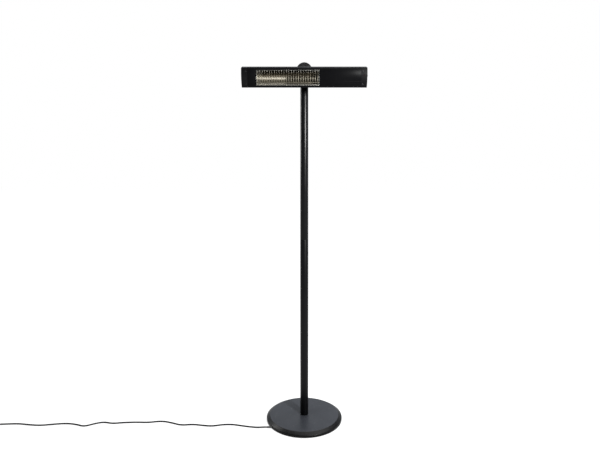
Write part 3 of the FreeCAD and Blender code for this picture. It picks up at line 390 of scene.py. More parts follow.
def baseEnamel(place, top, side, flat):
    # powder paint, dusty on the flat top; the flat top and the bevel and side wall around it take a lighter and a
    # darker copy of the one paint, a painted shade on the bevel and side wall, with light scuffs
    x, y = parts(place)[:2]
    coat = powderCoat(place, top, grey(0.16), 0.3, 0.00012)
    scuff = spread(noise(place, 45, 4, 0.6, (1, 1, 0.3)), 0.6, 0.75)
    wall = blended(scuff * 0.3, side, grey(0.02))
    # painted shade: beyond the flat top's radius the paint is swapped for the darker wall tone
    rim = spread((x * x + y * y) ** 0.5, flat, flat + 0.0008)
    coat["Base Color"] = blended(rim, coat["Base Color"], wall)
    coat["Specular IOR Level"] = 0.1
    return coat


def mouldedPlastic(place, colour, gloss, grain):
    spark = noise(place, 1500, 2)
    flow = noise(place, 18, 3, 0.5, (0.4, 1, 1))
    rub = spread(noise(place, 75, 6, 0.7), 0.55, 0.8)
    tone = blended(spread(flow, 0.35, 0.7), colour, shaded(colour, 1.5))
    return {"Base Color": blended(rub * 0.2, tone, grey(0.016)),
            "Roughness": spread(flow + rub * 0.5, 0.4, 1.1, gloss, gloss + 0.15),
            "Normal": relief(spark, 0.35, grain),
            "Specular IOR Level": 0.035}


def platedSteel(place, colour, gloss, stain):
    brush = noise(place, 220, 4, 0.6, (0.08, 1, 1))
    cloud = noise(place, 26, 4)
    spots = spread(cells(place, 160), 0.02, 0.1, 1, 0) * spread(cloud, 0.5, 0.65)
    tone = blended(spread(cloud, 0.35, 0.7), colour, shaded(colour, 0.72))
    return {"Base Color": blended(spots * 0.6, tone, stain),
            "Metallic": 1 - spots * 0.6,
            "Roughness": spread(cloud + brush * 0.5, 0.5, 1.0, gloss, gloss + 0.18),
            "Normal": relief(brush, 0.12, 0.0001)}


# painted reflections and painted shade in bands from the window's bottom lip up to its top lip: share of the
# height, then colour
wirePaintedLightTones = [
    (0.10, (0.34, 0.33, 0.30)), (0.20, (0.10, 0.09, 0.07)), (0.33, (0.20, 0.18, 0.14)),
    (0.45, (0.40, 0.37, 0.30)), (0.54, (0.22, 0.20, 0.16)), (0.64, (0.014, 0.012, 0.009)),
    (0.74, (0.024, 0.021, 0.016)), (0.84, (0.055, 0.052, 0.045)), (0.92, (0.16, 0.16, 0.15))]
sheetPaintedLightTones = [
    (0.10, (0.42, 0.40, 0.35)), (0.17, (0.06, 0.053, 0.038)), (0.25, (0.05, 0.044, 0.030)),
    (0.34, (0.70, 0.64, 0.50)), (0.50, (0.20, 0.17, 0.12)), (0.60, (0.010, 0.008, 0.004)),
    (0.74, (0.014, 0.012, 0.007)), (0.79, (0.09, 0.085, 0.07)), (0.85, (0.11, 0.105, 0.09)),
    (0.90, (0.32, 0.32, 0.30))]


def windowRise(place, cloud):
    # share of the window's height, square to its tilted face and wandering with the clouding
    y, z = parts(place)[1:]
    lean, half = math.radians(tilt), 0.05
    rise = (z - hinge.z) * math.cos(lean) - (y - hinge.y) * math.sin(lean)
    return spread(rise + (cloud - 0.5) * 0.004, -half, half)


def toned(up, tones):
    return up.node("ShaderNodeValToRGB", {"stops": tones}, {"Fac": up})


def wirePaintedBands(place):
    # plated wire, with painted reflections and painted shade in bands by height: bright where it bows out and
    # along its two ends, dark between
    smudge = noise(place, 60, 4, 0.6)
    return {"Base Color": toned(windowRise(place, smudge), wirePaintedLightTones), "Metallic": 1.0,
            "Roughness": spread(smudge, 0.3, 0.7, 0.3, 0.5)}


def mirrorSheet(place):
    # rolled bright sheet, brownish, with painted reflections and painted shade in bands by height, bright along
    # both lips, and painted darker past the lamp's film as a painted shade
    lines = noise(place, 420, 3, 0.6, (0.03, 1, 1))
    cloud = noise(place, 14, 3)
    up = windowRise(place, cloud)
    # painted shade: the sheet is blended darker to the right of the lamp's film
    pastFilmShade = spread(parts(place)[0] + (cloud - 0.5) * 0.03, -0.115, -0.085)
    return {"Base Color": blended(pastFilmShade * 0.78, toned(up, sheetPaintedLightTones), (0.022, 0.018, 0.011)),
            "Metallic": spread(up, 0.42, 0.48, 0.45, 1.0),
            "Roughness": spread(lines + cloud * 0.3, 0.4, 0.95, 0.26, 0.42),
            "Normal": relief(lines, 0.15, 0.0003)}


def polishedEnd(place):
    # the folded end sheets: bright, with a little tint and fine scratches
    scratch = noise(place, 500, 4, 0.7, (1, 1, 0.1))
    cloud = noise(place, 40, 3)
    tint = spread(cloud, 0.4, 0.7) * 0.5
    return {"Base Color": blended(tint, (0.50, 0.51, 0.48), (0.33, 0.31, 0.26)),
            "Metallic": 1.0, "Roughness": spread(scratch, 0.35, 0.7, 0.2, 0.36),
            "Normal": relief(scratch, 0.1, 0.0002)}


def goldQuartz(place):
    # thin gold film on the lamp glass: thick and bright at one end, worn thin at the other
    patch = noise(place, 30, 4, 0.6, (0.3, 1, 1))
    rings = noise(place, 260, 2, 0.5, (1, 0.05, 0.05))
    worn = spread(parts(place)[0] + patch * 0.012, -0.102, -0.086)
    return {"Base Color": blended(worn, (0.32, 0.295, 0.24), (0.03, 0.026, 0.016)),
            "Metallic": spread(worn, 0, 1, 0.35, 0.6),
            "Roughness": spread(patch + rings * 0.4, 0.4, 1.0, 0.3, 0.45),
            "Alpha": spread(worn, 0, 1, 0.98, 0.75),
            "Coat Weight": spread(patch, 0.3, 0.7, 0.1, 0.2), "Coat Roughness": 0.1,
            "Normal": relief(rings, 0.06, 0.0002)}


def wovenOrBare(place, colour, gloss, scale):
    # matt material with fine pores, a little lighter where it is rubbed
    pores = noise(place, scale, 4, 0.65)
    cloud = noise(place, scale / 30, 3)
    tone = blended(spread(cloud, 0.35, 0.7), colour, shaded(colour, 1.45))
    return {"Base Color": blended(spread(pores, 0.6, 0.8) * 0.3, tone, shaded(colour, 0.55)),
            "Roughness": spread(pores, 0.35, 0.7, gloss, min(gloss + 0.15, 1)),
            "Normal": relief(pores, 0.4, 0.0004)}


def cordSheath(place):
    # smooth extruded sheath, dusty in patches where it lay on the ground
    dust = spread(noise(place, 60, 4, 0.6), 0.5, 0.75)
    draw = noise(place, 700, 2)
    return {"Base Color": blended(dust * 0.35, (0.0025, 0.0025, 0.0027), (0.012, 0.0115, 0.011)),
            "Roughness": spread(dust, 0, 1, 0.55, 0.75),
            "Normal": relief(draw, 0.2, 0.0002),
            "Specular IOR Level": 0.02}


def boardLacquer(place):
    tracks = spread(cells(place, 240, "DISTANCE_TO_EDGE"), 0.02, 0.06)
    cloud = noise(place, 60, 3)
    return {"Base Color": blended(tracks, (0.03, 0.17, 0.08), (0.01, 0.09, 0.035)),
            "Roughness": spread(cloud, 0.3, 0.7, 0.25, 0.42),
            "Normal": relief(tracks, 0.3, 0.0001)}


def studioFloor(place):
    # seamless white floor with faint scuffs and an even glow of its own
    scuff = noise(place, 3, 4)
    return {"Base Color": blended(spread(scuff, 0.3, 0.7) * 0.5, grey(0.20), grey(0.22)),
            "Roughness": spread(scuff, 0.3, 0.7, 0.8, 0.9), "Specular IOR Level": 0.0,
            "Emission Color": (*grey(1.0), 1), "Emission Strength": 0.76}


# what each finish is made by: its function, then the values that function takes
recipes = {
    "satin_black": (powderCoat, (0.0014, 0.0015, 0.0018), grey(0.012), 0.26, 0.00008, 0.1),
    # the base's second colour is a darker copy of its paint, painted shade for the bevel and side wall
    "base_black": (baseEnamel, (0.0135, 0.0145, 0.0175), (0.0010, 0.0010, 0.0011), 0.1908),
    "housing_black": (powderCoat, (0.0018, 0.0018, 0.0020), grey(0.012), 0.4, 0.00012, 0.03),
    "fascia_black": (powderCoat, (0.0018, 0.0018, 0.0020), grey(0.012), 0.32, 0.00006, 0.012),
    "cast_black": (powderCoat, (0.005, 0.005, 0.0053), grey(0.07), 0.42, 0.0003),
    "cap_black": (mouldedPlastic, (0.0022, 0.0022, 0.0024), 0.42, 0.0001),
    "black_plastic": (mouldedPlastic, (0.007, 0.007, 0.0073), 0.42, 0.00012),
    "button_black": (mouldedPlastic, (0.011, 0.011, 0.012), 0.16, 0.00003),
    "lens_dark": (mouldedPlastic, (0.006, 0.004, 0.0045), 0.07, 0.00001),
    "nylon": (mouldedPlastic, (0.62, 0.60, 0.54), 0.4, 0.0001),
    "plug_black": (mouldedPlastic, (0.012, 0.012, 0.013), 0.45, 0.00015),
    "concrete": (wovenOrBare, (0.36, 0.35, 0.33), 0.85, 420),
    "rubber": (wovenOrBare, grey(0.014), 0.7, 900),
    "ceramic": (wovenOrBare, (0.72, 0.69, 0.62), 0.6, 700),
    "glass_braid": (wovenOrBare, (0.58, 0.56, 0.5), 0.75, 1400),
    "zinc_steel": (platedSteel, (0.60, 0.60, 0.57), 0.3, (0.35, 0.33, 0.28)),
    "dark_steel": (platedSteel, (0.028, 0.028, 0.029), 0.4, (0.05, 0.04, 0.03)),
    "cast_aluminium": (platedSteel, grey(0.6), 0.4, (0.4, 0.4, 0.38)),
    "brass": (platedSteel, (0.72, 0.5, 0.2), 0.26, (0.3, 0.2, 0.1)),
    "nickel": (platedSteel, (0.7, 0.68, 0.63), 0.18, (0.4, 0.38, 0.33)),
    "tungsten": (platedSteel, (0.3, 0.28, 0.25), 0.4, (0.12, 0.11, 0.1)),
    "chrome_wire": (wirePaintedBands,),
    "bright_reflector": (mirrorSheet,),
    "end_sheet": (polishedEnd,),
    "gold_quartz": (goldQuartz,),
    "cord_black": (cordSheath,),
    "board_green": (boardLacquer,),
}
finishes = {name: newFinish(name, *recipe) for name, recipe in recipes.items()}
for part in frame["record"]["subparts"]:
    shown = nodes[part["node"]]
    shown.data.materials.clear()
    shown.data.materials.append(finishes[part["material_slot"]])
print("finishes made:", len(finishes))

# camera, lights and floor
room = {"distance": 2.75, "eyeHeight": 1.400, "lens": 29.33, "shiftAcross": -0.0071,
        "shiftUp": -0.0930, "floorSize": 60.0, "skyPower": 3.0, "skySpread": 50,
        "skyTilt": (-14, 10, 0)}


def areaLight(name, place, aim, width, height, power):
    lamp = bpy.data.lights.new(name, "AREA")
    lamp.shape = "RECTANGLE"
    lamp.size = width
    lamp.size_y = height
    lamp.energy = power
    light = bpy.data.objects.new(name, lamp)
    light.location = place
    light.rotation_euler = (Vector(aim) - Vector(place)).to_track_quat("-Z", "Y").to_euler()
    bpy.context.scene.collection.objects.link(light)


camera = bpy.data.objects.new("camera", bpy.data.cameras.new("camera"))
camera.data.lens = room["lens"]
camera.data.sensor_width = 36
camera.data.shift_x = room["shiftAcross"]
camera.data.shift_y = room["shiftUp"]
camera.location = (0, -room["distance"], room["eyeHeight"])
camera.rotation_euler = (math.radians(90), 0, 0)
bpy.context.scene.collection.objects.link(camera)
bpy.context.scene.camera = camera
bpy.context.scene.view_settings.view_transform = "Standard"

areaLight("softbox_right", (1.35, -1.95, 2.05), (0, 0, 1.75), 0.25, 0.55, 205)
areaLight("softbox_left", (-1.7, 0.9, 1.9), (0, 0, 1.6), 0.6, 1.1, 30)
overhead = bpy.data.objects.new("overhead", bpy.data.lights.new("overhead", "SUN"))
overhead.data.energy = room["skyPower"]
overhead.data.angle = math.radians(room["skySpread"])
overhead.rotation_euler = [math.radians(angle) for angle in room["skyTilt"]]
bpy.context.scene.collection.objects.link(overhead)

# plain white to the camera; as light and in reflections brightest far behind and overhead
world = bpy.data.worlds.new("studio")
bpy.context.scene.world = world
world.use_nodes = True
sky = world.node_tree
direction = Signal(sky, sky.nodes.new("ShaderNodeTexCoord").outputs["Generated"])
depthSky, upSky = parts(direction)[1:]
backdrop = spread(depthSky, 0.45, 0.8, 0.13, 1.0) + spread(upSky, 0.3, 1.0, 0.0, 0.3)
seen = direction.node("ShaderNodeLightPath", {}, {})
glow = backdrop + seen * (1 - backdrop)
sky.links.new(glow.socket, sky.nodes["Background"].inputs["Strength"])
tint = blended(seen, (0.90, 0.95, 1.0), (1.0, 1.0, 1.0))
sky.links.new(tint.socket, sky.nodes["Background"].inputs["Color"])

clearSelection()
bpy.ops.mesh.primitive_plane_add(size=room["floorSize"])
floor = bpy.context.object
floor.name = "floor"
floor.data.materials.append(newFinish("floor_paint", studioFloor))
print("camera and lights placed")

# mains cord, coil and plug
cordSizes = {"length": 2.50, "diameter": 0.0075, "turns": 3.5, "perTurn": 14, "coilRadius": 0.042,
             "rise": 0.00375, "lane": 0.0037}
cordRoute = [
    (-0.200, -0.110, 0.0075), (-0.222, -0.110, 0.0075), (-0.250, -0.108, 0.0048),
    (-0.286, -0.102), (-0.334, -0.091), (-0.392, -0.075), (-0.446, -0.077), (-0.503, -0.094),
    (-0.560, -0.084), (-0.612, -0.074), (-0.672, -0.084), (-0.724, -0.060), (-0.790, -0.038),
    (-0.856, -0.055), (-0.930, -0.051), (-1.000, -0.056), (-1.056, -0.066), (-1.104, -0.049),
    (-1.150, -0.066), (-1.196, -0.097), (-1.244, -0.076), (-1.302, -0.064), (-1.368, -0.072),
    (-1.436, -0.086), (-1.504, -0.079), (-1.566, -0.067), (-1.630, -0.071), (-1.688, -0.075),
    (-1.716, -0.075)]


def cable(name, points, radius, steps):
    # a round cable drawn smoothly along the points
    line = bpy.data.curves.new(name, "CURVE")
    line.dimensions = "3D"
    line.bevel_depth = radius
    line.bevel_resolution = 4
    line.resolution_u = steps
    line.use_fill_caps = True
    spline = line.splines.new("NURBS")
    spline.points.add(len(points) - 1)
    for spot, point in zip(spline.points, points):
        spot.co = (*point, 1)
    spline.order_u = 3
    spline.use_endpoint_u = True
    line.materials.append(finishes["cord_black"])
    piece = bpy.data.objects.new(name, line)
    bpy.context.scene.collection.objects.link(piece)
    return piece


def climbed(share):
    # how far up the coil the cord has climbed: the first turns on the floor, the rest on them
    return min(max((share - 0.42) / 0.16, 0.0), 1.0)


def mainsCord():
    radius, rise, thick = cordSizes["coilRadius"], cordSizes["rise"], cordSizes["diameter"]
    points = [Vector((*spot, rise)[:3]) for spot in cordRoute]
    low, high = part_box("cord_coil")
    endY = cordRoute[-1][1]
    centre = Vector((low.x + radius + thick, endY - radius, 0))
    count = int(cordSizes["turns"] * cordSizes["perTurn"])
    for i in range(1, count):
        # two layers of turns, side by side, each a cord's width apart
        turn = cordSizes["turns"] * i / count
        angle = math.pi / 2 + 2 * math.pi * turn
        reach = radius + cordSizes["lane"] * math.cos(math.pi * turn)
        height = rise + climbed(i / count) * thick
        points.append(centre + Vector((reach * math.cos(angle), reach * math.sin(angle), height)))
    rearY, out = endY - 2 * radius, high.z - rise
    points += [Vector((centre.x + 0.012, rearY, out)), Vector((centre.x + 0.03, rearY, out)),
               Vector((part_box("plug")[0].x + 0.002, rearY, out + 0.001))]
    return cable("mains_cord", points, thick / 2, 6)


mainsCordPiece = mainsCord()
finished(mainsCordPiece, "stand", "cord_black", "power_cord", "cord_coil")
print("cord laid")


# base and post
base = {"flatRadius": 0.191, "bevelHeight": 0.011, "wall": 0.0015, "hole": 0.0228,
        "edgeRound": 0.003, "hemRound": 0.0006, "notchBack": 0.150, "notchRadius": 0.0063,
        "notchOver": 0.005, "feet": 6, "footRadius": 0.015}


def baseCover():
    low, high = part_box("base_cover")
    rim, wall = high.x, base["wall"]
    shoulder = high.z - base["bevelHeight"]
    corners = [
        (base["hole"], high.z - wall, 0), (base["hole"], high.z, base["hemRound"]),
        (base["flatRadius"], high.z, base["edgeRound"]), (rim, shoulder, base["edgeRound"]),
        (rim, low.z, base["hemRound"]), (rim - wall, low.z, base["hemRound"]),
        (rim - wall, shoulder - wall * 0.6, base["edgeRound"] - wall),
        (base["flatRadius"] - wall * 0.3, high.z - wall, base["edgeRound"] - wall)]
    cover = turned("base_cover_pressed", rounded(corners), 144)
    exitLow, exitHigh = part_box("strain_relief")
    exitY, exitZ = (exitLow.y + exitHigh.y) / 2, (exitLow.z + exitHigh.z) / 2
    run, over = rim - base["notchBack"], base["notchOver"]
    notchX, notchRadius = -rim + run / 2 - over, base["notchRadius"]
    cutBy(cover, hole(notchRadius, run, (notchX, exitY, exitZ), (0, 90, 0), 32),
          block((run, 2 * notchRadius, exitZ + 2 * over), (notchX, exitY, exitZ / 2 - over)))
    finished(cover, "stand", "satin_black", "base_cover", smooth=30, finish="base_black")


def rubberFeet():
    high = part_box("rubber_feet")[1]
    radius, height = base["footRadius"], high.z
    outline = [(0, 0, 0), (0.004, 0, 0.0003), (0.005, 0.001, 0.0003), (0.008, 0.001, 0.0003),
               (0.009, 0, 0.0003), (radius - 0.0015, 0, 0.0006), (radius, height, 0.0004),
               (0, height, 0)]
    foot = turned("foot", rounded(outline, 3), 40)
    reach = high.x - radius
    feet = []
    for i in range(base["feet"]):
        angle = 2 * math.pi * i / base["feet"]
        feet.append(copied(foot, (reach * math.cos(angle), reach * math.sin(angle), 0)))
    bpy.data.objects.remove(foot)
    finished(joined("rubber_feet_ribbed", feet), "stand", "rubber", "rubber_feet")


post = {"wall": 0.002, "edgeRound": 0.0005, "grubHole": 0.00255, "grub": 0.0025, "grubLength": 0.0076,
        "grubFoot": 0.03, "grubSplice": 0.025, "leadHole": 0.00695, "through": 0.02}


def tube(name, low, high):
    outer = high.x
    inner = outer - post["wall"]
    edge = post["edgeRound"]
    corners = [(inner, low.z, 0), (outer, low.z, edge), (outer, high.z, edge), (inner, high.z, 0)]
    return turned(name, rounded(corners, 3), 96)


def postTubes():
    lowerLow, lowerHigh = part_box("lower_tube")
    upperLow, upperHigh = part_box("upper_tube")
    side = lowerHigh.x
    lower = tube("lower_tube_drawn", lowerLow, lowerHigh)
    upper = tube("upper_tube_drawn", upperLow, upperHigh)
    leadLow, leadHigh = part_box("post_grommet")
    splice = post["grubSplice"]
    heights = [lowerLow.z + post["grubFoot"], lowerHigh.z - splice, lowerHigh.z + splice]
    low, mid, up = [hole(post["grubHole"], post["through"], (0, side, height), (90, 0, 0))
                    for height in heights]
    cutBy(lower, low, mid)
    cutBy(upper, up, hole(post["leadHole"], post["through"],
                          (side, 0, (leadLow.z + leadHigh.z) / 2), (0, 90, 0)))
    finished(lower, "stand", "satin_black", "lower_tube")
    finished(upper, "stand", "satin_black", "upper_tube")
    capLow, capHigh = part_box("post_cap")
    top = upperHigh.z
    inner = side - post["wall"] - 0.0001
    corners = [(0, capLow.z, 0), (inner, capLow.z, 0.0008), (inner, top, 0), (side, top, 0.0004),
               (side, capHigh.z - 0.0012, 0.0012), (side * 0.5, capHigh.z, 0.01), (0, capHigh.z, 0)]
    cap = turned("post_cap_domed", rounded(corners, 4), 72)
    finished(cap, "stand", "black_plastic", "post_cap")
    grubs = []
    wide, long = post["grub"], post["grubLength"]
    for height in heights:
        # a cup-point screw with a hexagon socket, lying along Y in the wall at the back
        screw = turned("grub", [(0, 0), (wide - 0.0003, 0), (wide, 0.0004), (wide, long - 0.0004),
                                (wide - 0.0003, long), (0, long)], 24)
        cutBy(screw, hole(0.0014, 0.005, (0, 0, long), sides=6))
        grubs.append(laid(screw, (0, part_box("grub_screws")[0].y, height), (-90, 0, 0)))
    finished(joined("grub_screw_set", grubs), "stand", "dark_steel", "grub_screws")


baseCover()
rubberFeet()
postTubes()
print("base and post made")

# disc, yoke, pivot and knob
for node, width, segments, body, slot in (
        ("mount_disc", 0.0005, 2, "stand", "cast_black"),
        ("saddle_block", 0.0008, 2, "stand", "cast_black"),
        ("mount_bolts", 0.0003, 1, "stand", "dark_steel"),
        ("pivot_bolt", 0.0004, 2, "stand", "zinc_steel"),
        ("pivot_washers", 0.0002, 1, "stand", "nylon"),
        ("hinge_bracket", 0.0007, 2, "head", "cast_black"),
        ("knob_insert", 0.0003, 1, "knob", "brass"),
        ("bracket_screws", 0.0002, 1, "head", "dark_steel")):
    finished(refined(node, width, segments), body, slot, node)

knob = {"lobes": 6, "lobeDepth": 0.0017, "points": 72, "edgeRound": 0.0022, "rim": 0.0045,
        "dip": 0.0012, "bore": 0.0065, "boreLength": 0.034}


def tiltKnob():
    low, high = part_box("tilt_knob")
    axisY, axisZ = (low.y + high.y) / 2, (low.z + high.z) / 2
    reach = (high.z - low.z) / 2 - knob["lobeDepth"] - 0.0002
    outline = []
    for i in range(knob["points"]):
        angle = 2 * math.pi * i / knob["points"]
        radius = reach + knob["lobeDepth"] * math.cos(knob["lobes"] * angle)
        outline.append((radius * math.cos(angle), radius * math.sin(angle)))
    grip = pulled("tilt_knob_lobed", outline, low.x, high.x - low.x)
    editFaces(grip, lambda face: face.normal.x < -0.9)
    bpy.ops.mesh.inset(thickness=knob["rim"], depth=0)
    bpy.ops.mesh.inset(thickness=knob["dip"], depth=-knob["dip"])
    bpy.ops.object.mode_set(mode="OBJECT")
    bevelled(grip, knob["edgeRound"], 4, 60)
    cutBy(grip, hole(knob["bore"], knob["boreLength"], (high.x, 0, 0), (0, 90, 0)))
    finished(laid(grip, (0, axisY, axisZ)), "knob", "black_plastic", "tilt_knob")


tiltKnob()
print("pivot made")

# head shell
head = {"shoulder": 0.044, "backHeight": 0.076, "apex": 0.100, "frontRadius": 0.112, "wall": 0.002,
        "lip": 0.009, "ledge": 0.004, "fasciaWall": 0.002, "edgeRound": 0.0012, "capBevel": 0.0028,
        "capWall": 0.0025, "screwRise": 0.034, "screwHead": 0.0036, "leadHole": 0.006,
        "grooves": (-0.018, -0.0293, -0.0406), "grooveDepth": 0.0007, "grooveHalf": 0.0012}


def levelBox(node):
    # a head node's lowest and highest corner with the head turned level about the hinge
    spots = [toLevel @ vertex.co for vertex in nodes[node].data.vertices]
    return (Vector([min(spot[i] for spot in spots) for i in range(3)]),
            Vector([max(spot[i] for spot in spots) for i in range(3)]))


def hung(piece, *rest, **named):
    return finished(laid(piece, hinge, (tilt, 0, 0)), "head", *rest, **named)


def frontAt(rise, inset=0.0):
    # how far forward the curved front stands at a height
    radius = head["frontRadius"]
    return radius - head["apex"] - math.sqrt((radius - inset) ** 2 - rise ** 2)


def frontArc(rise, inset=0.0, count=16):
    # the front's curve from a height down to the same depth
    centre = head["frontRadius"] - head["apex"]
    radius = head["frontRadius"] - inset
    angle = math.degrees(math.asin(rise / radius))
    return arc((centre, 0), radius, 180 - angle, 180 + angle, count)


def closedD(inset=0.0):
    # the D-shaped outside section of the head, or one that runs an inset inside it
    high = levelBox("head_housing")[1]
    half = high.z - inset
    upper = [(high.y - inset, head["backHeight"] / 2 - inset * 0.6, 0.004),
             (-head["shoulder"] - inset * 0.3, half, 0.006)]
    lower = [(across, -up, radius) for across, up, radius in reversed(upper)]
    tip = [(*spot, 0) for spot in frontArc(half, inset)]
    return rounded(upper + tip + lower, 4)


def headHousing():
    low, high = levelBox("head_housing")
    half, wall = high.z, head["wall"]
    lip = half - head["lip"]
    ledge = lip - head["ledge"]
    inner = head["fasciaWall"]
    upper = [
        (high.y, head["backHeight"] / 2, 0.004), (-head["shoulder"], half, 0.006),
        (frontAt(half), half, head["edgeRound"]), (frontAt(lip), lip, 0.0004),
        (frontAt(lip, inner), lip, 0), (frontAt(ledge, inner), ledge, 0.0003),
        (frontAt(ledge, inner) + wall, ledge, 0), (frontAt(half) + wall * 1.5, half - wall, 0.0008),
        (-head["shoulder"] - wall * 0.3, half - wall, 0.004),
        (high.y - wall, head["backHeight"] / 2 - wall * 0.6, 0.002)]
    shell = pulled("head_housing_folded", rounded(mirroredUp(upper), 4), low.x, high.x - low.x)
    gland = levelBox("lead_gland")
    middle = (gland[0] + gland[1]) / 2
    cutBy(shell, hole(head["leadHole"], 0.02, (middle.x, high.y, middle.z), (90, 0, 0)))
    hung(shell, "housing_black", "head_housing", smooth=30)


def plainFascia():
    low, high = levelBox("left_fascia")
    outline = frontArc(high.z, 0, 28) + frontArc(high.z, head["fasciaWall"], 28)[::-1]
    plate = pulled("left_fascia_pressed", outline, low.x, high.x - low.x)
    bevelled(plate, 0.0004, 2, 50)
    hung(plate, "fascia_black", "left_fascia", smooth=40)


def groovedFascia():
    # the right panel, with fine steps of its curve for its three grooves
    low, high = levelBox("right_fascia")
    rise = high.z
    heights = [rise - 2 * rise * i / 108 for i in range(109)]
    outline = []
    for up in heights:
        depth = head["grooveDepth"] * sum(math.exp(-((up - groove) / head["grooveHalf"]) ** 2)
                                          for groove in head["grooves"])
        outline.append((frontAt(up) + depth, up))
    inner = [(frontAt(up, head["fasciaWall"]), up) for up in heights[::-6]]
    plate = pulled("right_fascia_pressed", outline + inner, low.x, high.x - low.x)
    bevelled(plate, 0.0004, 2, 50)
    hung(plate, "fascia_black", "right_fascia", smooth=40)


def endCap(node, side):
    low, high = levelBox(node)
    length = high.x - low.x
    cap = pulled(node + "_moulded", closedD(), low.x, length)
    outside = side * max(abs(low.x), abs(high.x))
    editAll(cap)
    bpy.ops.mesh.select_all(action="DESELECT")
    bpy.ops.object.mode_set(mode="OBJECT")
    for edge in cap.data.edges:
        ends = [cap.data.vertices[i].co for i in edge.vertices]
        edge.select = all(abs(end.x - outside) < 1e-4 for end in ends)
    bpy.ops.object.mode_set(mode="EDIT")
    bpy.ops.mesh.select_mode(type="EDGE")
    bpy.ops.mesh.bevel(offset=head["capBevel"], segments=5, clamp_overlap=True)
    bpy.ops.object.mode_set(mode="OBJECT")
    start = low.x - 0.001 if side > 0 else low.x + head["capWall"]
    room = pulled("cap_room", closedD(head["capWall"]), start, length - head["capWall"] + 0.001)
    tools = [room]
    screws = levelBox("end_cap_screws")
    screwX = side * (max(abs(screws[0].x), abs(screws[1].x)) - head["screwHead"])
    for rise in (-head["screwRise"], head["screwRise"]):
        tools.append(hole(0.004, 0.012, (screwX, frontAt(rise) + 0.0012 - 0.006, rise), (90, 0, 0)))
    if side > 0:
        button = levelBox("power_button")
        middle = (button[0] + button[1]) / 2
        tools.append(hole(0.0063, 0.02, (high.x, middle.y, middle.z), (0, 90, 0)))
        lens = levelBox("receiver_lens")
        middle = (lens[0] + lens[1]) / 2
        tools.append(hole(0.00452, 0.02, (middle.x, lens[0].y, middle.z), (90, 0, 0)))
    cutBy(cap, *tools)
    hung(cap, "cap_black", node, smooth=32)


levelHalf = levelBox("head_housing")[1].z
headHousing()
plainFascia()
groovedFascia()
endCap("end_cap_left", -1)
endCap("end_cap_right", 1)
print("head shell made")


def capScrews():
    low, high = levelBox("end_cap_screws")
    reach = max(abs(low.x), abs(high.x)) - head["screwHead"]
    wide = head["screwHead"]
    one = turned("cap_screw", rounded([
        (0, 0.009, 0), (0.002, 0.009, 0.0004), (0.002, 0.002, 0), (wide, 0.002, 0.0003),
        (wide - 0.0002, 0.0003, 0.0008), (0, 0, 0)], 4), 32)
    cutBy(one, block((0.004, 0.0008, 0.0024)), block((0.0008, 0.004, 0.0024)))
    laid(one, turn=(-90, 0, 0))
    screws = []
    for side in (-1, 1):
        for rise in (-head["screwRise"], head["screwRise"]):
            screws.append(copied(one, (side * reach, frontAt(rise) - 0.0008, rise)))
    bpy.data.objects.remove(one)
    hung(joined("cap_screw_set", screws), "dark_steel", "end_cap_screws")


def buttonAndLens():
    low, high = levelBox("power_button")
    middle = (low + high) / 2
    radius, collar = 0.006, (high.z - low.z) / 2
    length = high.x - low.x
    crown = turned("power_button_crowned", rounded([
        (0, 0, 0), (radius, 0, 0.0004), (radius, 0.0025, 0), (collar, 0.0025, 0.0003),
        (collar, 0.0045, 0.0003), (radius, 0.0045, 0), (radius, length, 0.0012),
        (radius - 0.0018, length, 0.0005), (radius - 0.0026, length - 0.0007, 0.0008),
        (0, length - 0.0005, 0)], 4), 48)
    laid(crown, turn=(0, 90, 0))
    finished(laid(laid(crown, (low.x, middle.y, middle.z)), hinge, (tilt, 0, 0)),
             "button", "button_black", "power_button")
    low, high = levelBox("receiver_lens")
    middle = (low + high) / 2
    radius = (high.x - low.x) / 2
    lens = turned("receiver_lens_domed", rounded([
        (0, high.y - low.y, 0), (radius, high.y - low.y, 0.0002), (radius, 0.0004, 0.0002),
        (radius - 0.0009, 0.0001, 0.0003), (radius - 0.0013, 0.0007, 0.0003),
        (radius - 0.0018, 0.0008, 0.0002), (0, 0.0001, 0)], 3), 40)
    laid(lens, turn=(-90, 0, 0))
    hung(laid(lens, (middle.x, low.y, middle.z)), "lens_dark", "receiver_lens")


capScrews()
buttonAndLens()

# grille, reflector and lamp
wires = {"diameter": 0.0026, "pitch": 0.0128, "crossRise": 0.025, "railBack": 0.00225,
         "sides": 10, "steps": 22}


